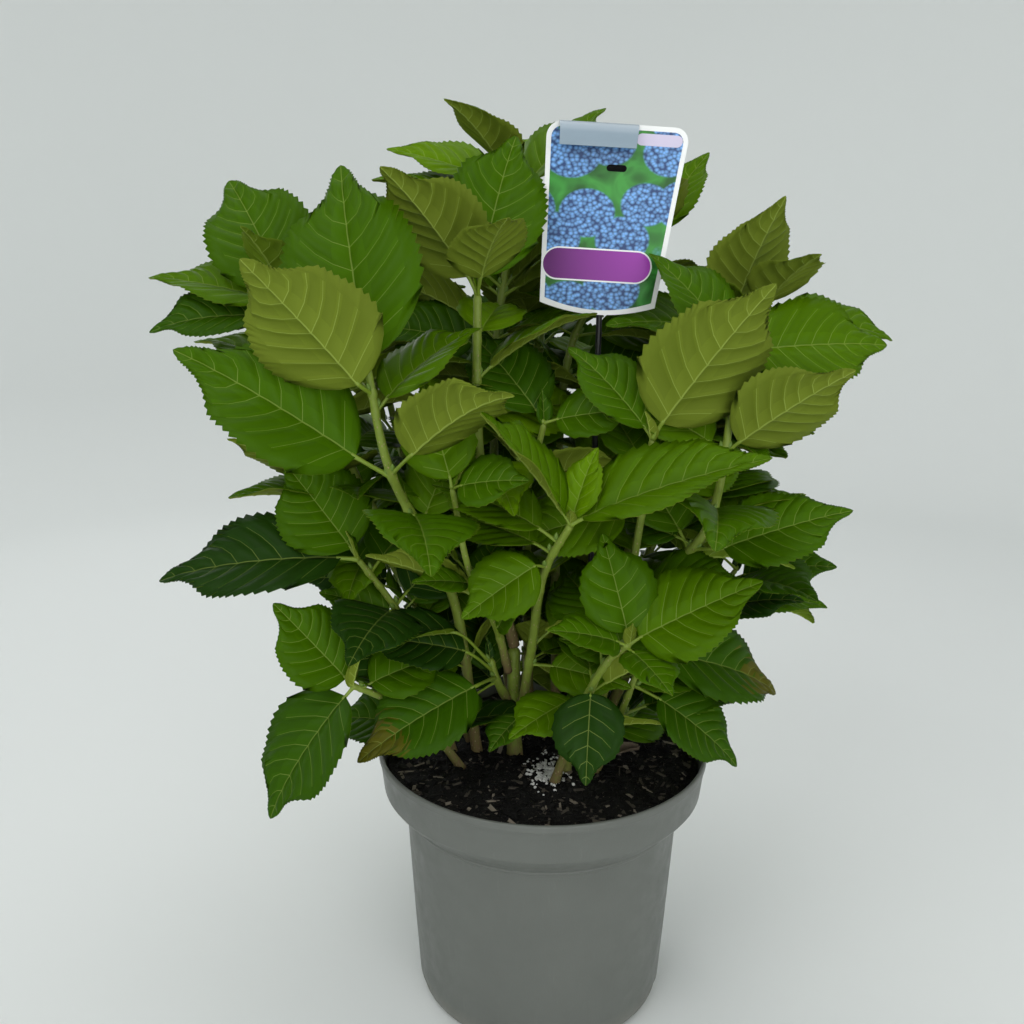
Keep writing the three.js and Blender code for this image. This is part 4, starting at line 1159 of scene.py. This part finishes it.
def close_up(piece, materials, bevel=0.0):
    """Normals out, edges rounded, shaded smooth by angle, with its materials."""
    bpy.ops.object.mode_set(mode="EDIT")
    bpy.ops.mesh.select_all(action="SELECT")
    bpy.ops.mesh.normals_make_consistent(inside=False)
    bpy.ops.object.mode_set(mode="OBJECT")
    if bevel:
        edge = piece.modifiers.new("edge", "BEVEL")
        edge.width, edge.segments, edge.limit_method = bevel * MM, EDGE["segments"], "ANGLE"
        edge.angle_limit = math.radians(EDGE["round"])
        bpy.ops.object.modifier_apply(modifier="edge")
    bpy.ops.object.shade_smooth_by_angle(angle=math.radians(EDGE["sharp"]))
    for material in materials:
        piece.data.materials.append(material)
    return piece


def sheet(name, counts, shape, thick, materials, offset=0):
    """A grid bent by a rule, in millimetres, and given its thickness."""
    fresh()
    bpy.ops.mesh.primitive_grid_add(x_subdivisions=counts[0], y_subdivisions=counts[1], size=2)
    piece = named(name)
    for v in piece.data.vertices:
        v.co = Vector(shape(v.co.x, v.co.y)) * MM
    wall = piece.modifiers.new("wall", "SOLIDIFY")
    wall.thickness, wall.offset = thick * MM, offset
    bpy.ops.object.modifier_apply(modifier="wall")
    return close_up(piece, materials)


def build_pot(s):
    top, rim, collar, neck, heel = (POT[key] for key in ("height", "rim", "collar", "neck", "heel"))
    foot, wall, low = POT["foot"], POT["wall"], POT["collar_low"]
    neck_at, heel_at = POT["neck_at"], POT["heel_at"]
    outline = [
        (foot - 9, 0.8), (foot - 8, 0), (foot, 0), (heel - 1.3, 2), (heel - 1.1, 2.5), (heel, heel_at),
        (heel + 0.1, DRAINS["high"]), (heel + 2.2, 40), (heel + 4.2, 74), (neck - 0.1, neck_at - 2),
        (neck + 0.6, neck_at - 1.4), (neck + 0.8, neck_at - 0.6), (neck + 0.5, neck_at + 0.2),
        (neck + 3.4, neck_at + 3.2), (collar - 2.6, low - 3.6), (collar, low), (collar + 1.1, top - 10),
        (rim - 0.5, top - 4.2), (rim, top - 3.4), (rim, top - 0.6), (rim - 0.6, top), (rim - wall, top),
        (rim - wall - 0.5, top - 1), (collar - wall, low + 1), (neck - wall + 2, neck_at + 4),
        (neck - wall, neck_at), (heel - wall, heel_at + 1), (foot - 1, POT["floor"]),
    ]
    piece = turned("pot_shell", outline, s.sides)
    gap = 360 / DRAINS["count"]
    half = math.degrees(DRAINS["wide"] / 2 / heel)

    def in_mark(face):
        x, y, z = face.center
        turn = (math.degrees(math.atan2(y, x)) - DRAINS["turn"] + gap / 2) % gap - gap / 2
        level = DRAINS["low"] * MM < z < DRAINS["high"] * MM
        return abs(turn) < half and level and math.hypot(x, y) > (heel - 1.5) * MM

    edit_faces(piece, in_mark)
    bpy.ops.mesh.inset(thickness=0.35 * MM, depth=-0.5 * MM)
    bpy.ops.mesh.inset(thickness=0.3 * MM, depth=-0.4 * MM)
    bpy.ops.object.mode_set(mode="OBJECT")
    close_up(piece, [pot_material(s)], 0.45)
    finish(piece, "pot", "pot")


def ground(x, y):
    """Height of the compost at a place, in millimetres."""
    rough = 2.1 * noise.noise(Vector((x / 13, y / 13, 0.4)))
    rough += 1.1 * noise.noise(Vector((x / 4.6, y / 4.6, 3.7)))
    fine = 0.5 * noise.noise(Vector((x / 1.9, y / 1.9, 8.1)))
    edge = max(0.0, (math.hypot(x, y) - 70) / 10)
    return SOIL_TOP + 0.4 + rough + fine - 0.9 * edge


def build_soil(s):
    """Compost that fills the pot's inside, its rough top a disc inset ring by ring."""
    collar, neck, heel = (POT[key] - POT["wall"] - 0.5 for key in ("collar", "neck", "heel"))
    outline = [
        (POT["foot"] - 2.5, POT["floor"] + 0.5), (heel - 0.2, POT["heel_at"] + 2),
        (neck - 0.2, POT["neck_at"]), (neck + 1.5, POT["neck_at"] + 4.6),
        (collar - 0.7, POT["collar_low"] + 1.5), (collar - 0.2, SOIL_TOP - 1.5),
        (collar - 0.6, SOIL_TOP - 0.6),
    ]
    piece = turned("compost_bed", outline, 144)
    edit_faces(piece, lambda face: face.center.z > (SOIL_TOP - 1) * MM and face.normal.z > 0.9)
    for _ in range(s.rings):
        bpy.ops.mesh.inset(thickness=78 / s.rings * MM)
    bpy.ops.object.mode_set(mode="OBJECT")
    for v in piece.data.vertices:
        if v.co.z > (SOIL_TOP - 0.7) * MM:
            v.co.z = ground(v.co.x / MM, v.co.y / MM) * MM
    close_up(piece, [soil_material(s)])
    finish(piece, "soil", "soil")


def build_chips(s, chance):
    """Bark chips and fibres, strewn over the compost."""
    corners = np.array([(x, y, z) for z in (-1, 1) for y in (-1, 1) for x in (-1, 1)], float)
    box = np.array([(0, 2, 3), (0, 3, 1), (4, 5, 7), (4, 7, 6), (0, 1, 5), (0, 5, 4),
                    (2, 6, 7), (2, 7, 3), (0, 4, 6), (0, 6, 2), (1, 3, 7), (1, 7, 5)])
    parts = []
    for _ in range(s.chips):
        long = chance.uniform(*CHIP["short" if chance.random() < 0.7 else "long"])
        wide = min(long, chance.uniform(*CHIP["wide"]))
        thick = chance.uniform(*CHIP["thick"])
        r, a = CHIP["reach"] * math.sqrt(chance.random()), chance.uniform(0, 2 * math.pi)
        r = min(r, CHIP["rim"] - long / 2)
        x, y = r * math.cos(a), r * math.sin(a)
        jitter = np.array([[chance.uniform(0.55, 1.1) for _ in range(3)] for _ in range(8)])
        shape = corners * jitter * (long / 2, wide / 2, thick / 2)
        tilt = 14 if long > 5 else 34
        turn = Matrix.Rotation(chance.uniform(0, 6.28), 3, "Z")
        turn = turn @ Matrix.Rotation(math.radians(chance.uniform(-tilt, tilt)), 3, "Y")
        turn = turn @ Matrix.Rotation(chance.uniform(-0.5, 0.5), 3, "X")
        shape = shape @ np.array(turn).T + (x, y, ground(x, y) + chance.uniform(0.1, 0.7))
        tone = chance.choices(range(4), (44, 34, 16, 5 if long < 6 else 9))[0]
        parts.append((shape, box, np.full(12, tone)))
    finish(array_object("bark_chips", *joined(parts), chip_materials(s), smooth=False), "soil")


def build_granules(s, chance):
    """White granules in one patch."""
    fresh()
    bpy.ops.mesh.primitive_ico_sphere_add(subdivisions=1, radius=1)
    ball = bpy.context.object
    points = np.array([v.co for v in ball.data.vertices])
    faces = np.array([f.vertices for f in ball.data.polygons])
    bpy.data.objects.remove(ball)
    parts = []
    for _ in range(s.granules):
        a, r = chance.uniform(0, 6.28), abs(chance.gauss(0, PATCH["spread"]))
        x = PATCH["middle"][0] + PATCH["stretch"][0] * r * math.cos(a)
        y = PATCH["middle"][1] + PATCH["stretch"][1] * r * math.sin(a)
        size = chance.uniform(*PATCH["size"])
        jitter = np.array([[chance.uniform(0.7, 1.15)] for _ in range(len(points))])
        squash = (1, chance.uniform(0.7, 1), chance.uniform(0.6, 0.9))
        at = (x, y, ground(x, y) + size * 0.6)
        parts.append(plain(points * jitter * size * squash + at, faces))
    finish(array_object("white_granules", *joined(parts), [granule_material(s)]), "soil")


def build_scrap(s):
    """A curled scrap of dry leaf that lies on the compost."""

    def shape(u, w):
        half = SCRAP["half_wide"] * max(0.06, 1 - u * u) ** 0.6
        x, y = SCRAP["half_long"] * u, half * w + 1.2 * math.sin(2.2 * u)
        z = 0.9 + 2.6 * w * w + 1.1 * math.sin(1.8 * u + 0.6) + 0.5 * noise.noise(Vector((x / 3, y / 3, 1)))
        c, t = math.cos(SCRAP["turn"]), math.sin(SCRAP["turn"])
        east, north, high = SCRAP["place"]
        return east + x * c - y * t, north + x * t + y * c, high + z

    finish(sheet("dry_scrap", (18, 8), shape, SCRAP["thick"], [dry_material(s)], -1), "soil")


def on_card(name, low, high, left, right, depth, thick, materials, sag=0.0, counts=(20, 20)):
    """A flat shape on the card between two heights, its edges given at each height, as a thin solid."""

    def shape(u, w):
        t = (1 - math.cos(math.pi * (w + 1) / 2)) / 2
        z = low + (high - low) * t
        x = left(z) + (right(z) - left(z)) * (u + 1) / 2
        z -= sag * (1 - u * u) * (1 - t)
        bow = CARD["bow"] * (x / 30) ** 2 + 0.25 * math.sin(z / 11)
        return card_point(x + CARD["skew"] * z, depth + bow, z)

    return sheet(name, counts, shape, thick, materials)


def edge_at(z, inset=0.0):
    """Half the card's width at a height, less a border, with its rounded upper corners."""
    high = CARD["high"] / 2
    half = CARD["bottom"] / 2 + (CARD["top"] - CARD["bottom"]) / 2 * (z + high) / CARD["high"] - inset
    corner = CARD["corner"] - inset
    over = max(0.0, z - (high - inset - corner))
    return half - corner + math.sqrt(max(0.0, corner**2 - over**2))


def round_bar(middle, half_long, low, high):
    """Left and right edges of a bar with round ends."""
    radius = (high - low) / 2

    def reach(z):
        return half_long - radius + math.sqrt(max(0.0, radius**2 - (z - low - radius) ** 2))

    return (lambda z: middle - reach(z)), (lambda z: middle + reach(z))


def build_card(s):
    high = CARD["high"] / 2
    white = glossy("card_white", s.white[:3])
    plate = on_card("card_plate", -high, high, lambda z: -edge_at(z), edge_at, 0, CARD["thick"], [white],
                    CARD["sag"], (32, 40))
    finish(plate, "card", "label_card")
    border = s.border
    field = on_card("card_picture", border - high, high - border, lambda z: -edge_at(z, border),
                    lambda z: edge_at(z, border), -0.35, 0.12, [picture_material(s)], CARD["sag"], (30, 36))
    finish(field, "card")
    # The card's hole is not cut: a black sheet on its face stands for it, painted shade where the hole shows
    # dark.
    hole_shade = Finish("card_black", s.hole[:3], 0.7, 0.1).material
    inks = (white, band_material(s), glossy("card_lilac", s.lilac[:3]), hole_shade)
    for (name, (middle, half, low, top, depth)), ink in zip(PRINTS.items(), inks):
        left, right = round_bar(middle, half, low, top)
        finish(on_card(name, low, top, left, right, depth, 0.1, [ink]), "card")

    def folded(u, w):
        t, bend = (1 - w) / 2, FLAP["bend"]
        x = u * FLAP["wide"] / 2 * (1 - 0.05 * t) - FLAP["left"]
        y = -FLAP["out"] * math.sin(t * bend) / math.sin(bend) + CARD["bow"] * (x / 30) ** 2
        z = high - FLAP["drop"] * (1 - math.cos(t * bend)) / (1 - math.cos(bend)) * 0.9 - 1.1 * t
        return card_point(x + CARD["skew"] * z, y, z)

    paper = glossy("card_flap_blue", s.flap[:3])
    finish(sheet("card_flap", (24, 14), folded, FLAP["thick"], [paper]), "card")


def build_stick(s):
    """The card's stick, a thin rod extruded up from a disc, with a domed head."""
    foot, head = Vector(STICK["foot"]) * MM, Vector(STICK["head"]) * MM
    radius, at, last = STICK["tip"], foot, 0.0
    piece = disc("card_stick", 24, STICK["radius"] * radius, foot)
    for share, r in STICK["rings"]:
        step = (head - foot) * (share - last)
        bpy.ops.mesh.extrude_region_move(TRANSFORM_OT_translate={"value": step})
        at = at + step
        bpy.ops.transform.resize(value=(r / radius, r / radius, 1), center_override=at)
        radius, last = r, share
    bpy.ops.object.mode_set(mode="OBJECT")
    bpy.ops.object.transform_apply(location=True, rotation=True, scale=True)
    close_up(piece, [stick_material(s)])
    finish(piece, "stick", "label_stick")


def slot_table(slots, tone, under):
    """Material slots of a leaf's kinds of face."""
    names = (tone, under, tone + "_vein", under + "_vein", tone + "_near", under + "_near")
    return np.array([slots[name] for name in names])


def leaf_share(pattern):
    """How far towards tip and rim each of a leaf's faces is."""
    _, rows, columns, faces, _ = pattern
    at = np.repeat(rows[:, 0], len(columns)) + 0.22 * np.tile(np.abs(columns), len(rows))
    return np.concatenate([at, at, [0.0, 1.0]])[faces].mean(1)


def build_leaves(s):
    """Every leaf of the crown, joined into one piece for each of its sides."""
    patterns, materials = leaf_patterns(), leaf_materials(s)
    slots = {name: i for i, name in enumerate(LEAF_SLOTS)}
    counts, parts = {}, {side: [] for side in SIDES}
    side_of = {shoot: side for side, shoots in SIDES.items() for shoot in shoots}
    for index, leaf in enumerate(crown()):
        shoot = leaf["shoot"]
        counts[shoot] = counts.get(shoot, -1) + 1
        hues = HUES[shoot]
        tone = leaf["tone"] or HUE_KEYS[hues[counts[shoot] % len(hues)]]
        chance = random.Random(SEED + index)
        pattern = next(p for p in patterns if leaf["length"] >= p[0])
        points = full_leaf(leaf, pattern, chance)
        under = UNDERS[0] if tone in TONES[:3] else UNDERS[1]
        table = slot_table(slots, tone, under)[pattern[4]]
        if tone == "worn":
            ragged = [chance.gauss(0, 0.06) for _ in range(len(table) // 2 + 1)]
            ragged = np.repeat(ragged, 2)[: len(table)]
            fresh_part = leaf_share(pattern) + ragged < s.worn_from
            table[fresh_part] = slot_table(slots, "deep", under)[pattern[4][fresh_part]]
        parts[side_of[shoot]].append((points, pattern[3], table))
    low, high = (np.array(corner) / MM for corner in CAD_BOX)
    for side, made in parts.items():
        points, faces, kinds = joined(made)
        piece = array_object("leaves_" + side, np.clip(points, low, high), faces, kinds, materials)
        finish(piece, "foliage", *[shoot + "_leaves" for shoot in SIDES[side]])


def build_stalks(s):
    """The stalk of each leaf, and a bud in the axil of each larger one."""
    grown = [leaf for leaf in crown() if leaf["kind"] == "blade"]
    parts = [plain(*stalk(leaf)) for leaf in grown]
    piece = array_object("leaf_stalks", *joined(parts), [Finish("stalk", s.stalk, 0.45, 0.5).material])
    finish(piece, "foliage")
    parts = []
    for leaf in grown:
        if leaf["length"] < s.bud_from or leaf["at"] > 0.96:
            continue
        way = SHOOTS[leaf["shoot"]]["way"]
        up = spot(way, leaf["at"] + 0.03) - spot(way, leaf["at"] - 0.03)
        parts.append(plain(*bud(leaf, up / np.linalg.norm(up))))
    finish(array_object("buds", *joined(parts), [Finish("bud", s.bud[:3], 0.5, 0.4).material]), "foliage")


def build_stems(s):
    """Trunk and boughs with their bark, from the compost to the top of each shoot."""
    parts, age = [], []
    nodes = {name: sorted({leaf["at"] for leaf in crown() if leaf["shoot"] == name}) for name in SHOOTS}
    for index, (name, shoot) in enumerate([("trunk", TRUNK), *SHOOTS.items()]):
        scars = [0.5] if name == "trunk" else nodes[name] + [shoot["cut"] * 0.5]
        v, t, old = stem(shoot, scars, 1.0 if rooted(shoot) else 0.6, index * 3.7)
        parts.append(plain(v, t))
        age.append(old)
    piece = array_object("stems", *joined(parts), [bark_material(s)], age=np.concatenate(age))
    finish(piece, "wood", "trunk", *[name + "_bough" for name in SHOOTS])


def build_stage(s):
    """A pale round cove, soft studio lights, an even sky and the camera."""
    cove, top, turns = STAGE["cove"], STAGE["high"], np.linspace(0, math.pi / 2, 13)
    bend = [(s.floor + cove * math.sin(a), cove - cove * math.cos(a)) for a in turns]
    bend = [(r, z - STAGE["below"]) for r, z in [(s.floor * 0.5, 0), *bend]]
    floor = turned("stage_cove", [*bend, (s.floor + cove, top)], 96)
    edit_faces(floor, lambda face: face.center.z > (top - 1) * MM)
    bpy.ops.mesh.delete(type="FACE")
    bpy.ops.mesh.select_all(action="SELECT")
    bpy.ops.mesh.flip_normals()
    bpy.ops.object.mode_set(mode="OBJECT")
    f = Finish("stage_paper", s.paper[:3], 0.75, 0.2)
    f.color(f.mix(f.noise(2, 2), shade(s.paper[:3], 0.985), s.paper[:3])).bump(f.noise(900, 2), 0.05, 0.3)
    floor.data.materials.append(f.material)
    bpy.ops.object.shade_smooth()
    for name, place, size, power in (
        ("key", (-0.55, -0.75, 1.15), 0.7, s.key), ("fill", (0.4, -1.2, 0.5), 0.9, s.fill),
        ("top", (0.1, 0.25, 1.45), 1.0, s.top), ("rim", (-0.6, 0.95, 0.8), 0.6, s.rim),
    ):
        aim = Vector((0, 0, STAGE["aim"])) - Vector(place)
        turn = aim.to_track_quat("-Z", "Y").to_euler()
        bpy.ops.object.light_add(type="AREA", location=place, rotation=turn)
        lamp = bpy.context.object
        lamp.name = "light_" + name
        lamp.data.energy, lamp.data.size = power, size
    world = bpy.data.worlds.new("soft_sky")
    world.use_nodes = True
    world.node_tree.nodes["Background"].inputs["Color"].default_value = (*s.sky[:3], 1)
    world.node_tree.nodes["Background"].inputs["Strength"].default_value = s.sky_light
    bpy.context.scene.world = world
    bpy.ops.object.camera_add()
    camera = bpy.context.object
    camera.name = "camera"
    tilt = Matrix.Rotation(math.radians(90 - s.pitch), 4, "X") @ Matrix.Rotation(s.roll, 4, "Z")
    camera.matrix_world = Matrix.Translation(Vector(s.camera) * MM) @ tilt
    camera.data.lens, camera.data.sensor_width = s.lens, 36
    camera.data.clip_start = 0.01
    bpy.context.scene.camera = camera
    bpy.context.scene.view_settings.view_transform = "Standard"


# What a user may change.
def tint(name, text, *rgb):
    shown = {"name": name, "description": text, "subtype": "COLOR"}
    return FloatVectorProperty(size=3, min=0, max=1, default=linear(*rgb), **shown)


def size(name, text, default, low, high):
    return FloatProperty(name=name, description=text, default=default, min=low, max=high)


def count(name, text, default, low, high):
    return IntProperty(name=name, description=text, default=default, min=low, max=high)


def watts(name, text, default):
    return FloatProperty(name=name, description=text, default=default, min=0, unit="POWER")


class LeafSettings(bpy.types.PropertyGroup):
    lime: tint("Lime", "Upper side of the youngest leaves", 93, 129, 3)
    bright: tint("Bright", "Upper side of the leaves in full light", 73, 107, 1)
    green: tint("Green", "Upper side of most leaves", 62, 97, 1)
    deep: tint("Deep", "Upper side of shaded leaves", 49, 83, 3)
    dark: tint("Dark", "Upper side of the oldest leaves", 30, 58, 9)
    worn: tint("Worn", "Upper side of leaves that turn brown", 82, 82, 18)
    under_pale: tint("Pale underside", "Underside of young leaves", 106, 122, 36)
    under_olive: tint("Olive underside", "Underside of old leaves", 91, 114, 22)
    vein: tint("Vein", "Colour that the veins pale to", 176, 196, 96)
    worn_from: size("Worn from", "Where a worn leaf turns brown, as a share of its length", 0.68, 0, 1)
    vein_share: size("Vein share", "How far the veins pale, from 0 to 1", 0.28, 0, 1)
    roughness: size("Roughness", "Gloss of the upper side, 0 is a mirror", 0.42, 0, 1)
    shine: size("Shine", "Strength of the reflections on the upper side", 0.07, 0, 1)
    stalk: tint("Stalk", "Leaf stalks", 124, 148, 44)
    bud: tint("Bud", "Buds in the leaf axils", 104, 132, 50)
    bud_from: size("Buds from", "Least length of a leaf with a bud, in millimetres", 34, 0, 200)


class StemSettings(bpy.types.PropertyGroup):
    green: tint("Green bark", "Upper stems", 112, 130, 46)
    brown: tint("Brown bark", "Foot of the stems", 118, 100, 66)
    speck: tint("Specks", "Pale specks in the bark", 190, 172, 128)


class PotSettings(bpy.types.PropertyGroup):
    color: tint("Plastic", "Colour of the pot", 101, 104, 99)
    dust: tint("Dust", "Dust at the foot", 158, 152, 138)
    sides: count("Sides", "Segments around the pot", 120, 24, 360)


class SoilSettings(bpy.types.PropertyGroup):
    color: tint("Compost", "Wet compost", 15, 14, 12)
    fibre: tint("Fibre", "Bark fibres and chips", 104, 97, 86)
    granule: tint("Granules", "Feeding granules", 246, 246, 242)
    dry: tint("Dry leaf", "Dry leaf scrap", 142, 128, 108)
    chips: count("Chips", "Number of bark chips", 1900, 0, 6000)
    granules: count("Granules", "Number of granules", 620, 0, 900)
    rings: count("Rings", "Rings in the compost's top", 52, 4, 120)


class CardSettings(bpy.types.PropertyGroup):
    white: tint("Card", "Bare card", 252, 253, 253)
    leafy: tint("Picture", "Greens of the printed picture", 66, 150, 62)
    petal: tint("Rounds", "Blues of the printed picture", 104, 150, 238)
    band: tint("Band", "Printed band", 140, 52, 152)
    lilac: tint("Strip", "Printed strip", 214, 204, 232)
    # The hole's colour is painted shade: the black of the sheet that stands in for the hole.
    hole: tint("Hole", "The hole in the card", 13, 13, 14)
    flap: tint("Flap", "Folded flap", 146, 164, 178)
    stick: tint("Stick", "The card's stick", 20, 20, 22)
    border: size("Border", "Bare border around the picture, in millimetres", 2.2, 0, 10)


class StageSettings(bpy.types.PropertyGroup):
    paper: tint("Paper", "Floor and cove", 237, 240, 239)
    sky: tint("Sky", "Light from all around", 242, 244, 243)
    sky_light: size("Sky light", "Strength of the light from all around", 0.46, 0, 10)
    key: watts("Key light", "Power of the key light", 3.8)
    fill: watts("Fill light", "Power of the fill light", 4.6)
    top: watts("Top light", "Power of the top light", 3.8)
    rim: watts("Rim light", "Power of the light behind", 1.6)
    floor: size("Floor", "Radius of the flat floor, in millimetres", 1150, 600, 4000)
    camera: FloatVectorProperty(name="Camera", description="Camera's place, in millimetres", size=3,
                                default=(-16.6, -480.3, 378.1))
    pitch: size("Pitch", "How far the camera looks down, in degrees", 14, -90, 90)
    roll: size("Roll", "The camera's turn about its own axis, in radians", 0.007, -1, 1)
    lens: size("Lens", "Focal length in millimetres", 35.156, 10, 200)


GROUPS = {
    "leaf": LeafSettings, "stem": StemSettings, "pot": PotSettings, "soil": SoilSettings,
    "card": CardSettings, "stage": StageSettings,
}


def settings(key):
    return getattr(bpy.context.scene, "shrub_" + key)


def build_litter(s):
    """Chips, then granules from the same run of numbers, then the scrap, which takes none."""
    chance = random.Random(SEED)
    build_chips(s, chance)
    build_granules(s, chance)
    build_scrap(s)


def operator(key, label, text, group, *builders):
    """An operator that runs these builders with the settings of one group."""

    def execute(self, context):
        for build in builders:
            build(settings(group))
        return {"FINISHED"}

    parts = {"bl_idname": "shrub." + key, "bl_label": label, "bl_description": text, "execute": execute}
    return type("SHRUB_OT_" + key, (bpy.types.Operator,), parts)


OPERATORS = [
    operator("stage", "Stage", "Set up the floor, lights, sky and camera", "stage", build_stage),
    operator("pot", "Pot", "Model the pot", "pot", build_pot),
    operator("soil", "Compost", "Fill the pot with compost and its litter", "soil", build_soil, build_litter),
    operator("stems", "Stems", "Grow the trunk and boughs with their bark", "stem", build_stems),
    operator("stalks", "Stalks and buds", "Grow the leaf stalks and buds", "leaf", build_stalks),
    operator("leaves", "Leaves", "Grow the leaves, joined by side of the crown", "leaf", build_leaves),
    operator("card", "Plant card", "Model the plant card with its print and flap", "card", build_card),
    operator("stick", "Stick", "Model the card's stick", "card", build_stick),
]


class SHRUB_PT_panel(bpy.types.Panel):
    bl_label = "Potted Shrub"
    bl_idname = "SHRUB_PT_panel"
    bl_space_type = "VIEW_3D"
    bl_region_type = "UI"
    bl_category = "Shrub"

    def draw(self, context):
        for item in OPERATORS:
            self.layout.operator(item.bl_idname)
        for key, group in GROUPS.items():
            box = self.layout.box()
            box.label(text=key.capitalize())
            for name in group.__annotations__:
                box.prop(settings(key), name)


def register():
    for item in (*GROUPS.values(), *OPERATORS, SHRUB_PT_panel):
        bpy.utils.register_class(item)
    for key, group in GROUPS.items():
        setattr(bpy.types.Scene, "shrub_" + key, PointerProperty(type=group))


def unregister():
    for key in GROUPS:
        delattr(bpy.types.Scene, "shrub_" + key)
    for item in (SHRUB_PT_panel, *reversed(OPERATORS), *reversed(GROUPS.values())):
        bpy.utils.unregister_class(item)


def main():
    register()
    for item in OPERATORS:
        getattr(bpy.ops.shrub, item.bl_idname.split(".")[1])()


if __name__ == "__main__":
    main()
